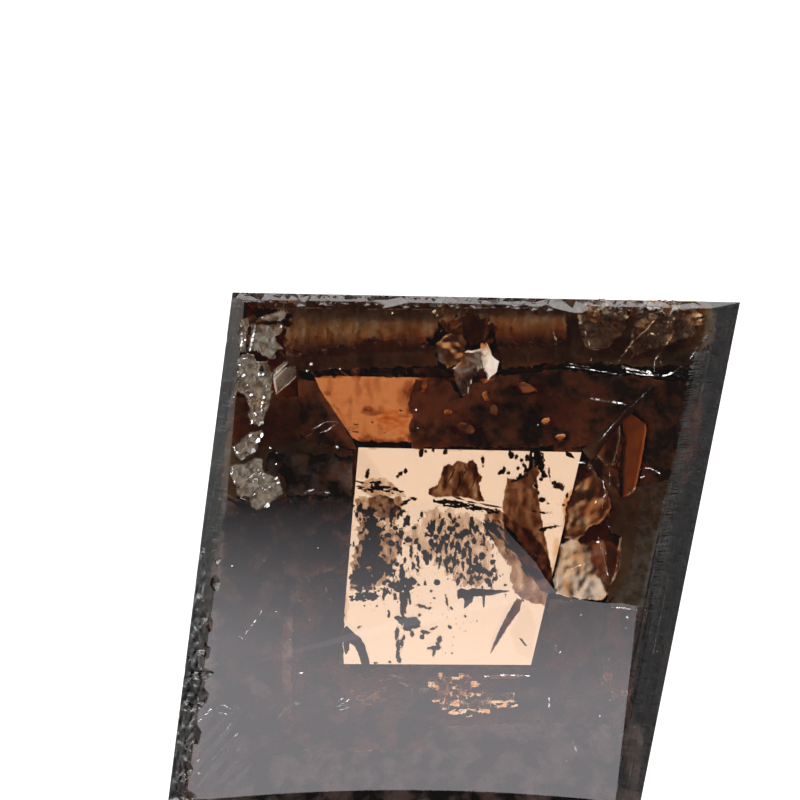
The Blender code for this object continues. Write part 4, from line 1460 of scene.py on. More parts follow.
for outline, seed in (
    (((428, 674), (450, 670), (472, 676), (492, 692), (490, 714), (462, 718), (438, 710),
      (428, 694)), 151),
    (((488, 694), (514, 692), (518, 706), (494, 712)), 161),
    (((198, 772), (210, 772), (212, 784), (200, 784)), 171),
):
    flecks(outline, 0.44, (7.0, 3.2), -90, 2.3, 0.40, 0.03, 8, seed, 0.04)
tint(RUST, ((428, 668), (520, 672), (520, 720), (440, 722), (428, 712)), 0.28, 0.07, 240,
     (6, 5), least=0.035, step=1.0)
flecks(((604, 658), (626, 650), (642, 655), (640, 690), (612, 702), (602, 684)), 0.45, (8.0, 6.0),
       -90, 2.2, 0.30, 0.04, 9, 177, 0.28)
tint(RUST, ((598, 646), (648, 646), (644, 700), (598, 706)), 0.20, 0.08, 242, (6, 6), least=0.05)
# painted glints: golden film islands at the left of the foot, where orange glints show
painted_glints_left = ((348, 674), (380, 670), (412, 673), (418, 688), (406, 707), (370, 708), (348, 692))
sheet(GOLD_AND_GLINTS, (342, 666, 424, 714), islands(painted_glints_left, 0.40, (8.0, 3.0), 26.0, 175, fade=4), hug(0.22),
      lambda x, y, f: 0.014 * np.clip(f / 2, 0, 1) + 0.002, 0.8)


# ---- white lines, dots and sparks ------------------------------------------
def bright_line(points, width, depth=0.12, rng=random.Random(31)):
    """A hair crack in short flat steps, leaning so that some of them flash."""
    depth = min(depth, 0.03)
    for (ax, ay), (bx, by) in zip(points, points[1:]):
        length = math.hypot(bx - ax, by - ay)
        n = max(1, round(length / 5.0))
        lean_deg = math.degrees(math.atan2(by - ay, bx - ax))
        for i in range(n):
            t = (i + 0.5) / n
            plate(ax + (bx - ax) * t, ay + (by - ay) * t + rng.uniform(-0.15, 0.15) * width,
                  length / n * 1.12, width * rng.uniform(0.6, 1.15), lean_deg, depth, rng)


def spark(x, y, w, h=None, depth=0.10, rng=random.Random(37)):
    """A tiny flat gap that flashes."""
    depth = min(depth, 0.03)
    plate(x, y, w, h or w, rng.uniform(-40, 40), depth, rng, off=2.0)


LINES = (
    # (points, width, depth)
    (((589, 398.6), (600, 400.2), (612, 402), (627, 404.5)), 2.2, 0.15),
    (((565, 366), (590, 369.5), (612, 373.5), (624, 374.5)), 1.2, 0.20),
    (((621, 366), (630, 369), (640, 371), (652, 373)), 3.0, 0.12),
    (((626, 372), (640, 374.5), (652, 375.5)), 1.8, 0.12),
    (((647, 374.5), (654, 375.5), (660, 375)), 2.0, 0.10),
    (((662, 376), (668, 375), (673, 372)), 2.4, 0.10),
    (((606, 362), (609, 363.5), (612, 363)), 2.4, 0.14),
    (((660, 361), (662, 363.5), (663, 366)), 2.0, 0.10),
    (((690, 312), (696, 308), (702, 301)), 2.6, 0.08),
    (((650, 333.5), (655, 334.5), (660, 333)), 2.0, 0.16),
    (((652, 319), (660, 321), (672, 322.5)), 1.4, 0.18),
    (((654, 325.5), (664, 326), (674, 327.5)), 1.4, 0.18),
    (((712, 318), (714, 328), (716, 339)), 1.4, 0.12),
    (((727, 318), (727.5, 322), (728, 326)), 1.2, 0.12),
    (((697, 344), (702, 340), (708, 334)), 1.2, 0.10),
    (((671, 374), (681, 367), (690, 359), (698, 347)), 1.2, 0.09),
    (((657, 381), (648, 391), (638, 400), (629, 409)), 0.9, 0.35),
    (((600, 440), (612, 426), (626, 411)), 0.9, 0.60),
    (((580, 302), (577, 312), (580, 318)), 1.2, 0.2),
    (((626, 300), (623, 309), (620, 316)), 1.3, 0.2),
    (((658, 316), (646, 330), (634, 340), (618, 362)), 1.2, 0.35),
    (((672, 336), (662, 350), (655, 360), (654, 372)), 1.1, 0.35),
    (((585, 330), (590, 346), (592, 362)), 1.1, 0.35),
    (((549, 320), (556, 340), (556, 356)), 1.2, 0.4),
    (((569, 363), (580, 366), (590, 367)), 1.0, 0.2),
    (((579, 462), (583, 462.5), (586, 463)), 2.2, 0.10),
    (((588, 465), (590.5, 465.5), (592, 465.5)), 2.4, 0.10),
    (((603, 480), (605, 494), (602, 508)), 1.1, 0.45),
    (((609, 466), (610, 482), (606, 500)), 1.1, 0.45),
    (((616, 607.5), (621, 607.3), (627, 608.4)), 2.2, 0.06),
    (((611, 607), (640, 610), (655, 611.5)), 0.8, 0.05),
    (((570, 570), (578, 566), (590, 562)), 1.2, 0.4),
    (((598, 536), (604, 556), (608, 576)), 1.1, 0.4),
    (((640, 470), (650, 468), (661, 474)), 1.8, 0.2),
    (((636, 474), (640, 478), (645, 476)), 1.8, 0.2),
    (((655, 576), (660, 575.5), (664, 577)), 1.4, 0.06),
    (((662, 591), (663, 600), (663, 611)), 1.6, 0.08),
    (((655, 652), (658, 652), (662, 653)), 0.9, 0.06),
    (((646, 685), (640, 694), (640, 705)), 0.9, 0.06),
    (((641, 723), (645, 730), (648, 738)), 1.0, 0.06),
    (((644, 748), (646, 752), (648, 758)), 1.0, 0.06),
    (((624, 779), (628, 779), (633, 780)), 1.0, 0.06),
    (((484, 676.5), (505, 674.8), (530, 676)), 2.2, 0.12),
    (((549, 697), (549.3, 703), (549, 708)), 1.6, 0.06),
    (((572, 740), (574, 746), (577, 752)), 1.2, 0.06),
    (((590, 740), (592, 747), (593, 755)), 1.2, 0.06),
    (((262, 610), (256, 620), (251, 626), (245, 635)), 1.5, 0.06),
    (((239, 636), (243, 639), (248, 638)), 1.3, 0.06),
    (((216, 707), (224, 705), (232, 710), (240, 708)), 1.6, 0.06),
    (((218, 713), (228, 714), (236, 713)), 1.0, 0.06),
    (((294, 703), (298, 704), (302, 702)), 1.4, 0.06),
    (((337, 707), (342, 704), (350, 699)), 1.6, 0.06),
    (((339, 710), (344, 709), (349, 707)), 1.2, 0.06),
    (((337, 703), (340, 700), (344, 698)), 1.0, 0.06),
    (((298, 672), (300, 673), (303, 673)), 1.2, 0.06),
    (((187, 735), (198, 722), (212, 708)), 1.0, 0.10),
    (((192, 752), (208, 735), (226, 715)), 1.3, 0.10),
    (((190, 770), (212, 745), (236, 718)), 1.0, 0.10),
    (((198, 776), (216, 756), (238, 733)), 0.9, 0.10),
    (((205, 786), (222, 764), (240, 748)), 0.8, 0.10),
    (((188, 716), (196, 706), (206, 696)), 0.9, 0.10),
    (((311, 430), (318, 426), (325, 422), (339, 422)), 1.4, 0.30),
    (((320, 433), (328, 430), (334, 425)), 1.6, 0.30),
    (((306, 436), (310, 435), (313, 433)), 1.2, 0.30),
    (((304, 494), (308, 491), (314, 490)), 1.8, 0.06),
    (((318, 493), (324, 492), (330, 493)), 1.2, 0.06),
    (((218, 497), (228, 496), (238, 498), (248, 500)), 1.0, 0.04),
)
for pts, w, depth in LINES:
    bright_line(pts, w, depth)
for x, y, w in (
    (663, 502, 3), (670, 521, 3), (671, 525, 2.4), (682, 522, 3), (683, 531, 2.2), (671, 580, 2),
    (627, 617, 2.4), (626, 628, 2), (650, 664, 2), (703, 357, 3.4), (726, 373, 2.4), (618, 485, 2.6),
    (609, 527, 2.6), (598, 542, 3.2), (596, 502, 2.4), (392, 313, 2.6), (434, 312, 5), (437, 315, 2.6),
    (416, 410, 3), (418, 428, 2.4), (541, 445, 2.2), (337, 447, 2.6), (538, 425, 2), (311, 364, 3.4),
    (307, 371, 3), (330, 368, 2.4), (340, 369, 2.2), (256, 340, 2), (590, 468, 2), (581, 615, 2),
    (597, 623, 2.2), (607, 601, 2), (224, 475, 3), (228, 466, 2.2), (270, 448, 2.6), (276, 453, 2.2),
    (276, 464, 2.2), (207, 640, 2), (276, 612, 1.8), (300, 580, 1.8), (290, 640, 1.6),
    (232, 566, 1.8), (310, 620, 1.6), (264, 560, 1.6), (330, 600, 1.6), (318, 548, 1.8),
    (244, 690, 1.8), (256, 700, 1.6), (560, 652, 3), (556, 646, 2.4), (408, 670, 1.8),
    (470, 697, 2), (566, 760, 1.8), (600, 716, 1.8), (610, 700, 1.6), (590, 730, 1.8),
):
    spark(x, y, w, w * 0.8, depth=0.08)

# black marks on or just under the table
for x, y, w, h, a in (
    (225, 730, 3, 4, 0), (320, 782, 3.4, 2.4, 20), (331, 782, 2.4, 2, 0), (269, 662, 2.4, 2, 0),
    (263, 620, 2.6, 2, 0), (447, 712, 3, 3.6, 0), (440, 742, 6, 4, 0), (441, 748, 5, 5, 20),
    (549, 672, 4, 2.6, 0), (481, 768, 5, 2.4, -30), (485, 771, 5, 2, 30), (480, 777, 5, 2.4, 10),
    (485, 780, 3, 2, 0), (226, 500, 3, 2, 0), (320, 779, 2, 2, 0), (243, 598, 2, 2, 0),
    (300, 660, 1.6, 1.6, 0), (350, 735, 1.6, 1.6, 0), (520, 730, 1.6, 1.6, 0),
):
    spot(CARBON_AND_SHADE, x, y, w, h, random.Random(int(x * 7 + y)), depth=0.06, lean_deg=a, thin=0.3)
ribbon(CARBON_AND_SHADE, ((552, 703), (562, 700), (575, 697.5), (592, 694.5)), [0.6, 2.6, 2.2, 0.4], 0.05, 0.02)
ribbon(CARBON_AND_SHADE, ((484, 681), (500, 679.5), (516, 680), (532, 677)), [0.4, 1.6, 1.4, 0.4], 0.10, 0.02)
ribbon(CARBON_AND_SHADE, ((654, 377), (670, 378.5), (690, 381), (716, 383)), [0.4, 1.8, 1.8, 0.5], 0.10, 0.02)


# ---- muddy ground of the dark parts: films with soft stains over them -------
def ground(bucket, outline, depth, seed, tear=3.0, but=None, step=1.2):
    """One unbroken film inside an uneven outline."""
    xs, ys = [p[0] for p in outline], [p[1] for p in outline]
    field = ragged(outline, tear, 5, seed)
    if but:
        field = only(field, but)
    sheet(bucket, (min(xs) - 4, min(ys) - 4, max(xs) + 4, max(ys) + 4), field, depth,
          lambda x, y, f: 0.016 * np.clip(f / 2, 0, 1) + 0.002, step)


PALE_DROP = ((434, 340), (450, 322), (464, 318), (486, 330), (500, 352), (500, 374),
             (486, 384), (474, 382), (468, 396), (460, 398), (450, 382), (436, 368))
FEATHER_GAP = ((558, 545), (566, 498), (580, 478), (592, 466), (606, 486), (616, 510), (624, 536),
               (620, 560), (612, 594), (602, 606), (586, 604), (552, 598))
spots_open = lambda x, y: (CLOUD_SPOTS(x, y) - 0.45) * 8.0
# the cloud right of the orange facet
ground(RUSSET, ((416, 379), (452, 378), (474, 378), (520, 374), (566, 370), (620, 378), (655, 384),
                (628, 408), (600, 438), (588, 447), (520, 447), (412, 448), (409, 430), (413, 418),
                (408, 404), (412, 392)), under_table(0.16, 0.05), 505,
       but=only(spots_open, away_from(PALE_DROP)))
tint(STAIN, ((404, 372), (655, 368), (655, 390), (590, 452), (404, 452)), under_table(0.10), 0.06,
     531, (10, 8), level=0.46, gain=4.0)
for k, (gx, gy, w, h) in enumerate(((466, 429, 24, 12), (495, 408, 9, 14), (486, 396, 9, 9),
                                    (528, 388, 28, 11), (424, 386, 8, 12), (548, 422, 14, 8),
                                    (448, 412, 11, 6), (562, 438, 14, 7))):
    ring = [(gx + math.cos(6.283 * i / 9) * w / 2, gy + math.sin(6.283 * i / 9) * h / 2)
            for i in range(9)]
    feather(ring, 90, 1.5, 0.16, 0.03, 11, 3.0, step=0.8, seed=620 + k, frost=0.30)
    tint(RUST, [(x + (x - gx) * 0.5, y + (y - gy) * 0.5) for x, y in ring], under_table(0.10), 0.10,
         640 + k, (5, 5), least=0.13, step=1.0)
# the kite right of the window: a bright strip and a duller face
KITE_STRIP = ((628, 412), (646, 425), (646, 433), (641, 463), (634, 495), (622, 497), (622, 470),
              (625, 442), (622, 424), (616, 420))
KITE_FACE = ((625, 413), (616, 421), (606, 436), (592, 452), (604, 462), (613, 466), (620, 440),
             (620, 424))
feather(KITE_STRIP, 20, 1.7, 0.20, 0.01, 16, 0.5, step=0.9, seed=670, frost=0.28)
tint(RUST, ((628, 408), (650, 422), (650, 434), (644, 466), (637, 500), (618, 500), (619, 470),
            (622, 442), (619, 424), (612, 420)), under_table(0.05), 0.05, 671, (6, 16), least=0.23,
     tear=0.5, level=0.45)
feather(KITE_FACE, 20, 1.7, 0.20, 0.02, 12, 0.8, step=0.9, seed=672, frost=0.34)
tint(RUST, KITE_FACE, under_table(0.07), 0.10, 673, (6, 12), least=0.17, tear=0.5, level=0.42)
tint(STAIN, KITE_FACE, under_table(0.10), 0.10, 674, (7, 12), least=0.03, tear=0.5, level=0.42)
ground(RUSSET, ((604, 464), (612, 468), (618, 470), (621, 497), (612, 486), (600, 480), (588, 470),
                (592, 456)), under_table(0.14), 509, tear=1.0, but=away_from(FEATHER_GAP))
ground(GOLD_AND_GLINTS, ((602, 474), (613, 486), (622, 498), (634, 496), (640, 500), (636, 540), (628, 576),
                (616, 594), (606, 604), (608, 592), (620, 566), (622, 536), (611, 533), (606, 522),
                (614, 510), (608, 490)), under_table(0.11, 0.03), 510, tear=1.5, step=0.8)
ground(GOLD_AND_GLINTS, ((582, 449), (588, 446), (606, 428), (628, 407), (634, 411), (613, 433), (600, 452),
              (591, 461), (584, 454)), under_table(0.10), 507, tear=1.0, step=0.7)
# the dull ground right of the kite and under the arc
ground(RUSSET, ((560, 372), (655, 378), (704, 386), (698, 440), (688, 482), (648, 492), (638, 492),
                (644, 462), (648, 440), (648, 424), (630, 409), (655, 384), (600, 376)),
       under_table(0.16, 0.05), 511)
tint(STAIN, ((560, 368), (655, 374), (706, 382), (700, 440), (690, 486), (648, 494), (640, 492),
             (648, 440), (648, 424), (630, 410), (655, 384)), under_table(0.08), 0.04, 535, (9, 10),
     level=0.46, gain=3.0)
ground(PALE, ((638, 486), (673, 479), (662, 520), (651, 560), (644, 606), (632, 609), (610, 605),
                (618, 580), (625, 540), (624, 500)), under_table(0.13, 0.05), 513)
tint(RUST, ((636, 482), (692, 474), (680, 530), (625, 530), (622, 500)), under_table(0.06), 0.04,
     555, (9, 9))
tint(STAIN, ((636, 482), (692, 474), (676, 560), (668, 610), (606, 606), (618, 580), (625, 540),
             (622, 500)), under_table(0.08), 0.025, 537, (9, 8), level=0.46, gain=2.4)
tint(RUST, ((636, 482), (692, 474), (676, 560), (668, 610), (606, 606), (618, 580), (625, 540),
            (622, 500)), under_table(0.11), 0.015, 539, (8, 9), level=0.48)
# left of the window, above the crack
ground(GOLD_AND_GLINTS, ((232, 398), (272, 396), (300, 397), (300, 440), (352, 450), (352, 456), (300, 453),
                (268, 452), (266, 470), (284, 478), (286, 499), (262, 510), (225, 498), (227, 446)),
       under_table(0.12, 0.03), 505)
tint(RUST, ((230, 396), (304, 394), (304, 442), (268, 450), (226, 448)), under_table(0.06), 0.09,
     557, (8, 9), least=0.03)
ground(RUSSET, ((298, 379), (314, 381), (336, 414), (357, 449), (330, 448), (312, 444),
                (298, 432)), under_table(0.14), 503, tear=0.8)
tint(STAIN, ((296, 378), (348, 444), (326, 448), (300, 440)), under_table(0.08), 0.05, 541, (7, 7))
ground(VEIL, ((268, 432), (300, 440), (345, 447), (352, 456), (352, 497), (286, 494), (284, 476),
              (268, 470), (264, 458)), under_table(0.14, 0.06), 515)
tint(RUST, ((266, 430), (352, 446), (353, 498), (284, 498), (262, 462)), under_table(0.11), 0.06,
     543, (7, 9), level=0.44)
tint(STAIN, ((266, 430), (352, 446), (353, 498), (284, 498), (262, 462)), under_table(0.07), 0.04,
     545, (9, 8), level=0.48, gain=3.4)
# left of the window, below the crack
ground(VEIL, ((224, 502), (256, 514), (268, 506), (300, 499), (352, 499), (346, 560), (300, 586),
              (272, 650), (280, 744), (240, 796), (196, 796), (206, 640)), under_table(0.14, 0.05), 519,
       tear=9.0, step=1.4)
tint(RUST, ((226, 500), (352, 498), (346, 560), (290, 588), (290, 680), (212, 680)),
     under_table(0.11), 0.16, 547, (7, 10), level=0.44, gain=3.4, step=1.3)
tint(STAIN, ((226, 500), (352, 498), (346, 560), (290, 588), (290, 744), (240, 796), (198, 796)),
     under_table(0.07), 0.22, 549, (11, 13), level=0.46, gain=3.4, step=1.3)
# the foot: films near the lower facets, then the same near the table
ground(VEIL, ((292, 600), (344, 600), (344, 668), (560, 668), (604, 610), (668, 614), (644, 700),
              (640, 727), (430, 727), (428, 750), (292, 750)), hug(0.10), 523, step=1.5,
       but=lambda x, y: (FOOT_GLINTS(x, y) - 0.45) * 8.0)
ground(VEIL, ((200, 770), (292, 750), (426, 750), (430, 728), (540, 722), (642, 726), (636, 812),
              (186, 812), (190, 790)), under_table(0.12, 0.04), 527, tear=4.0, step=1.5)
tint(RUST, ((596, 646), (650, 636), (648, 690), (600, 694)), under_table(0.10), 0.14, 551, (8, 7),
     level=0.40, least=0.01)
tint(RUST, ((352, 672), (560, 670), (590, 700), (560, 720), (380, 716)), under_table(0.05), 0.05,
     553, (9, 7), level=0.46)

# gaps of the golden corner filled
GOLD_CORNER = (
    ((636, 305), (660, 300), (690, 303), (704, 318), (694, 336), (668, 344), (645, 352), (630, 360),
     (632, 336)),
    ((575, 302), (600, 300), (632, 302), (626, 330), (604, 350), (588, 352), (580, 330)),
)
ground(GOLD_AND_GLINTS, ((566, 302), (640, 303), (712, 305), (714, 340), (700, 352), (640, 362), (584, 358),
              (566, 340)), under_table(0.10, 0.05), 561, but=away_from(*GOLD_CORNER), step=1.0)
# paler golden haze under the arc
ground(GOLD_AND_GLINTS, ((568, 341), (600, 352), (640, 359), (698, 345), (704, 360), (656, 367), (610, 364),
              (570, 356)), under_table(0.06, 0.02), 563, tear=2.5, step=0.9)
# painted reflections: pale silver strips and spots where silvery streaks and light specks show at the lower left
for k, pts in enumerate((
    ((186, 742), (202, 726), (220, 704)), ((188, 758), (206, 740), (230, 712)),
    ((190, 776), (210, 752), (236, 722)), ((197, 788), (216, 764), (242, 734)),
    ((212, 792), (228, 772), (246, 752)), ((190, 724), (200, 712), (210, 700)),
    ((228, 792), (240, 778), (252, 764)),
)):
    ribbon(PAINTED_GLINTS, pts, [3.0, 7.0, 2.0], 0.03, 0.012, random.Random(700 + k), 0.2)
for x, y, w, h, a in ((308, 578, 3, 14, -12), (246, 575, 3, 12, -10), (268, 548, 8, 4, 20),
                      (243, 530, 9, 6, 0), (228, 640, 5, 4, 0), (236, 706, 7, 3, 0),
                      (296, 703, 8, 5, 10), (300, 674, 6, 3, 0), (346, 706, 9, 4, 20),
                      (284, 562, 6, 3, 30), (326, 590, 3, 7, -10), (258, 604, 6, 3, -40)):
    spot(PAINTED_GLINTS, x, y, w, h, random.Random(int(x + y)), depth=0.06, lean_deg=a, thin=0.12)

# hatching left by the wheel on the inner half of the right bevel, drawn as pale silver strips just over it: the
# marks themselves, with the light they catch painted in
hatch = random.Random(731)
for k in range(112):
    y = 352 + k * 2.6 + hatch.uniform(-0.7, 0.7)
    left = float(np.interp(y, (352, 366, 400, 440, 480, 520, 560, 590, 612, 645),
                           (694, 691, 684, 677, 669, 660, 655, 652, 652, 648)))
    right = float(np.interp(y, (352, 366, 400, 440, 480, 520, 560, 590, 612, 645),
                            (708, 702, 695, 690, 686, 674, 669, 664, 657, 651)))
    left += hatch.uniform(-1.5, 2.0)
    right += hatch.uniform(-3.5, 1.5)
    pts = [(left, y + 1.0), (left * 0.5 + right * 0.5, y + 0.4), (right, y - 0.3)]
    over = [float(roof_at(np.array([[p[0]]]), np.array([[p[1]]]))[0, 0]) - 0.007 for p in pts]
    high = hatch.uniform(0.9, 2.5)
    ribbon(PAINTED_GLINTS, pts, [high * 0.6, high, high * 0.6], over, 0.004, hatch, 0.15)


DIAMOND = diamond()
bmesh.ops.triangulate(body, faces=body.faces[:])
bmesh.ops.recalc_face_normals(body, faces=body.faces)
body.normal_update()
mark_ground(body)
hollow = [body.verts.new(v) for v in VOIDS.verts]
frost_layer = body.faces.layers.float["frost"]
for f, frost in zip(VOIDS.faces, VOIDS.frosts):
    try:
        body.faces.new([hollow[i] for i in f])[frost_layer] = frost
    except ValueError:
        pass
body.normal_update()
stone = make("stone_body", body, [DIAMOND])
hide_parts("stone")
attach(stone, "root")


def tinted(name, loss, patches=None):
    """A stain in the crystal, or a band of painted shade: no bending, only extra loss per mm."""
    m, nodes, links, shader = new_material(name)
    shader.inputs["Base Color"].default_value = (1, 1, 1, 1)
    shader.inputs["IOR"].default_value = 1.0
    shader.inputs["Transmission Weight"].default_value = 1.0
    shader.inputs["Roughness"].default_value = 0.0
    density = max(loss) / 0.98 / MM
    volume = nodes.new("ShaderNodeVolumeAbsorption")
    volume.inputs["Color"].default_value = (
        *(1.0 - a / MM / density for a in loss), 1.0)
    volume.inputs["Density"].default_value = density
    links.new(volume.outputs[0], nodes["Material Output"].inputs["Volume"])
    return m


def grained(name, low, high, scale, roughness, through=0.0, ior=1.45, stops=(0.35, 0.65)):
    """A mottled grain: two colours through noise, with a patchy gloss."""
    m, nodes, links, shader = new_material(name)
    where = nodes.new("ShaderNodeTexCoord")
    cloud = nodes.new("ShaderNodeTexNoise")
    cloud.inputs["Scale"].default_value = scale
    cloud.inputs["Detail"].default_value = 6.0
    links.new(where.outputs["Object"], cloud.inputs["Vector"])
    ramp = nodes.new("ShaderNodeValToRGB")
    ramp.color_ramp.elements[0].position = stops[0]
    ramp.color_ramp.elements[0].color = (*low, 1)
    ramp.color_ramp.elements[1].position = stops[1]
    ramp.color_ramp.elements[1].color = (*high, 1)
    links.new(cloud.outputs["Fac"], ramp.inputs[0])
    links.new(ramp.outputs[0], shader.inputs["Base Color"])
    gloss = nodes.new("ShaderNodeMapRange")
    gloss.inputs["To Min"].default_value = roughness[0]
    gloss.inputs["To Max"].default_value = roughness[1]
    links.new(cloud.outputs["Fac"], gloss.inputs["Value"])
    links.new(gloss.outputs[0], shader.inputs["Roughness"])
    shader.inputs["IOR"].default_value = ior
    shader.inputs["Transmission Weight"].default_value = through
    return m


def place(name, bucket, material):
    mesh = bpy.data.meshes.new(name)
    mesh.from_pydata([Vector(v) * MM for v in bucket.verts], [], bucket.faces)
    mesh.update()
    mesh.materials.append(material)
    obj = bpy.data.objects.new(name, mesh)
    bpy.context.scene.collection.objects.link(obj)
    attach(obj, "root")
    return obj


PIECES = (
    # carbon grains, and the dark plate of painted shade in the hole
    ("carbon_grains_and_shade", CARBON_AND_SHADE, lambda: grained(
        "carbon_and_hole_shade", (0.012, 0.006, 0.003), (0.070, 0.034, 0.016), 4000.0, (0.35, 0.8))),
    ("brown_stain", STAIN, lambda: tinted("brown_stain", (7.0, 10.0, 13.0))),
    ("rust_film", RUST, lambda: tinted("rust_film", (2.4, 8.0, 15.0))),
    # painted shade: the neutral grey bands under the bevels
    ("painted_bevel_shade", BEVEL_SHADE, lambda: tinted("bevel_shade_film", (9.0, 8.6, 8.8))),
    ("haze", HAZE, lambda: grained(
        "haze", (0.30, 0.21, 0.15), (0.75, 0.62, 0.52), 2500.0, (0.25, 0.55), 1.0, 1.25)),
    # golden clouds, and the golden film that paints the glints at the foot
    ("golden_cloud_and_glints", GOLD_AND_GLINTS, lambda: grained(
        "golden_cloud_and_glints", (0.42, 0.20, 0.07), (0.97, 0.62, 0.30), 1800.0, (0.3, 0.7), 0.2, 1.3)),
    ("russet_cloud", RUSSET, lambda: grained(
        "russet_cloud", (0.16, 0.05, 0.022), (1.0, 0.38, 0.15), 3600.0, (0.35, 0.6), 0.25, 1.25,
        (0.37, 0.57))),
    ("smoky_veil", VEIL, lambda: grained(
        "smoky_veil", (0.06, 0.035, 0.03), (1.0, 0.76, 0.72), 3200.0, (0.35, 0.6), 0.2, 1.3,
        (0.43, 0.58))),
    ("pit_grit", GRIT, lambda: grained(
        "pit_grit", (0.32, 0.22, 0.15), (0.95, 0.74, 0.55), 8000.0, (0.35, 0.7), 0.0, 1.45,
        (0.38, 0.62))),
    ("pale_grit", PALE, lambda: grained(
        "pale_grit", (0.50, 0.39, 0.28), (0.98, 0.86, 0.72), 12000.0, (0.3, 0.62))),
    ("broken_faces", BRIGHT, lambda: grained(
        "broken_faces", (0.55, 0.50, 0.45), (0.92, 0.88, 0.82), 6000.0, (0.08, 0.22), 0.0, 2.4)),
    # pale silver films that paint glints, silvery streaks and the light on the wheel hatching
    ("painted_glint_film", PAINTED_GLINTS, lambda: grained(
        "painted_glint_film", (0.35, 0.31, 0.28), (0.86, 0.83, 0.80), 3500.0, (0.15, 0.5), 0.25, 1.6)),
)
for name, bucket, material in PIECES:
    if bucket.faces:
        place(name, bucket, material())


# ------------------------------------------------------------------ stage
def emitter(name, strength, colour=(1, 1, 1)):
    m = bpy.data.materials.new(name)
    m.use_nodes = True
    nodes = m.node_tree.nodes
    nodes.clear()
    glow = nodes.new("ShaderNodeEmission")
    glow.inputs["Color"].default_value = (*colour, 1)
    glow.inputs["Strength"].default_value = strength
    out = nodes.new("ShaderNodeOutputMaterial")
    m.node_tree.links.new(glow.outputs[0], out.inputs["Surface"])
    return m, nodes, m.node_tree.links, glow


bm = bmesh.new()
bmesh.ops.create_circle(bm, cap_ends=True, segments=96, radius=600.0)
bmesh.ops.translate(bm, vec=(0, 0, -0.004), verts=bm.verts)
floor = make("light_table", bm, [emitter("light_table", 1.4)[0]])
floor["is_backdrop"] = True

# a white card beside the lens: the table mirrors it in its lower part. Its
# rows are written as the table pixel whose mirror ray meets them.
CARD_HEIGHT = 150.0
CARD_ROWS = (490, 790)      # first and last row of the card
CARD_SOFT = (150.0, 200.0)  # rows its soft edge takes: at the left, from the middle on
CARD_FULL = 1.1             # strength past the soft edge


def card_point(x, y):
    grow = 1.0 + CARD_HEIGHT / EYE_HEIGHT
    return (
        (EYE[0] + (x - EYE[0]) * grow - MID[0]) * PX,
        (MID[1] - EYE[1] - (y - EYE[1]) * grow) * PX,
        DEPTH + CARD_HEIGHT,
    )


bm = bmesh.new()
glow_layer = bm.verts.layers.float.new("glow")
rows = []
for y in range(CARD_ROWS[0], CARD_ROWS[1] + 1, 10):
    at_left, at_middle = (
        CARD_FULL * min(1.0, (y - CARD_ROWS[0]) / soft) for soft in CARD_SOFT)
    row = []
    for i in range(33):
        x = 400.0 + (i - 16) * 30.0
        sag = (x - 400.0) ** 2 / 3880.0 * max(0.0, (y - 630) / 161.0)
        share = min(1.0, max(0.0, (360.0 - x) / 140.0))
        v = bm.verts.new(card_point(x, y + sag))
        v[glow_layer] = at_left * share + at_middle * (1 - share)
        row.append(v)
    rows.append(row)
for a, b in zip(rows, rows[1:]):
    for i in range(32):
        bm.faces.new((a[i], a[i + 1], b[i + 1], b[i]))
mat, nodes, links, glow = emitter("white_card", 1.0, (0.97, 0.93, 0.985))
attribute = nodes.new("ShaderNodeAttribute")
attribute.attribute_name = "glow"
links.new(attribute.outputs["Fac"], glow.inputs["Strength"])
card = make("white_card", bm, [mat])
card.visible_camera = False
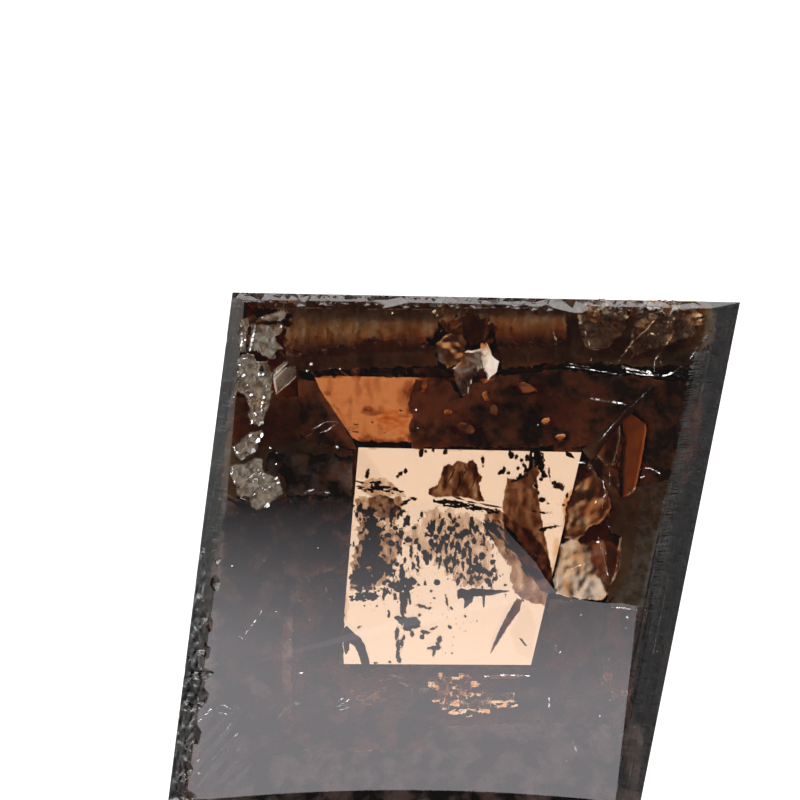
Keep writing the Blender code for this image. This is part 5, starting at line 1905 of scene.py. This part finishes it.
card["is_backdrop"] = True


def softbox(name, azimuth, polar, spread, strength, distance=260.0, colour=(1, 1, 1)):
    """A soft panel in one direction; polar is measured down from overhead.

    Its four corners are at polar[0] to polar[1] and azimuth -/+ spread.
    """
    bm = bmesh.new()
    grid = []
    for i in range(5):
        t = math.radians(polar[0] + (polar[1] - polar[0]) * i / 4)
        row = []
        for j in range(7):
            a = math.radians(azimuth - spread + 2 * spread * j / 6)
            row.append(bm.verts.new(Vector((
                math.sin(t) * math.cos(a), math.sin(t) * math.sin(a), math.cos(t))) * distance))
        grid.append(row)
    for a, b in zip(grid, grid[1:]):
        for j in range(6):
            bm.faces.new((a[j], b[j], b[j + 1], a[j + 1]))
    panel = make(name, bm, [emitter(name, strength, colour)[0]])
    panel.visible_camera = False
    panel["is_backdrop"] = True


softbox("right_panel", -11.0, (15.0, 40.0), 18.0, 0.54)
softbox("left_panel", 172.0, (36.0, 54.0), 18.0, 0.35, colour=(0.88, 1.0, 0.95))
softbox("key_panel", KEY_AZIMUTH, (KEY_POLAR - 6, KEY_POLAR + 6), 9.0, 8.0)
softbox("back_panel", 90.0, (62.0, 88.0), 35.0, 1.5)

world = bpy.data.worlds.new("studio")
bpy.context.scene.world = world
world.use_nodes = True
nodes, links = world.node_tree.nodes, world.node_tree.links
nodes.clear()
where = nodes.new("ShaderNodeTexCoord")
split = nodes.new("ShaderNodeSeparateXYZ")
links.new(where.outputs["Generated"], split.inputs[0])
ramp = nodes.new("ShaderNodeValToRGB")
links.new(split.outputs["Z"], ramp.inputs[0])
SKY = [(0.0, 0.40), (0.35, 0.25), (0.6, 0.07), (1.0, 0.03)]
stops = ramp.color_ramp.elements
stops[0].position, stops[0].color = SKY[0][0], (SKY[0][1],) * 3 + (1,)
stops[1].position, stops[1].color = SKY[-1][0], (SKY[-1][1],) * 3 + (1,)
for at, v in SKY[1:-1]:
    stops.new(at).color = (v, v, v, 1)
back = nodes.new("ShaderNodeBackground")
links.new(ramp.outputs[0], back.inputs["Color"])
links.new(back.outputs[0], nodes.new("ShaderNodeOutputWorld").inputs["Surface"])

# ------------------------------------------------------------------ camera
lens = bpy.data.cameras.new("camera")
lens.lens, lens.sensor_width = 200.0, 36.0
lens.clip_start, lens.clip_end = 0.001, 10.0
camera = bpy.data.objects.new("camera", lens)
bpy.context.scene.collection.objects.link(camera)
eye = px(*EYE)
camera.location = Vector((eye.x, eye.y, DEPTH + EYE_HEIGHT)) * MM
bpy.context.scene.camera = camera

scene = bpy.context.scene
scene.view_settings.view_transform = "Standard"
scene.cycles.max_bounces = 32
scene.cycles.transmission_bounces = 32
scene.cycles.glossy_bounces = 32

low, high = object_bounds()
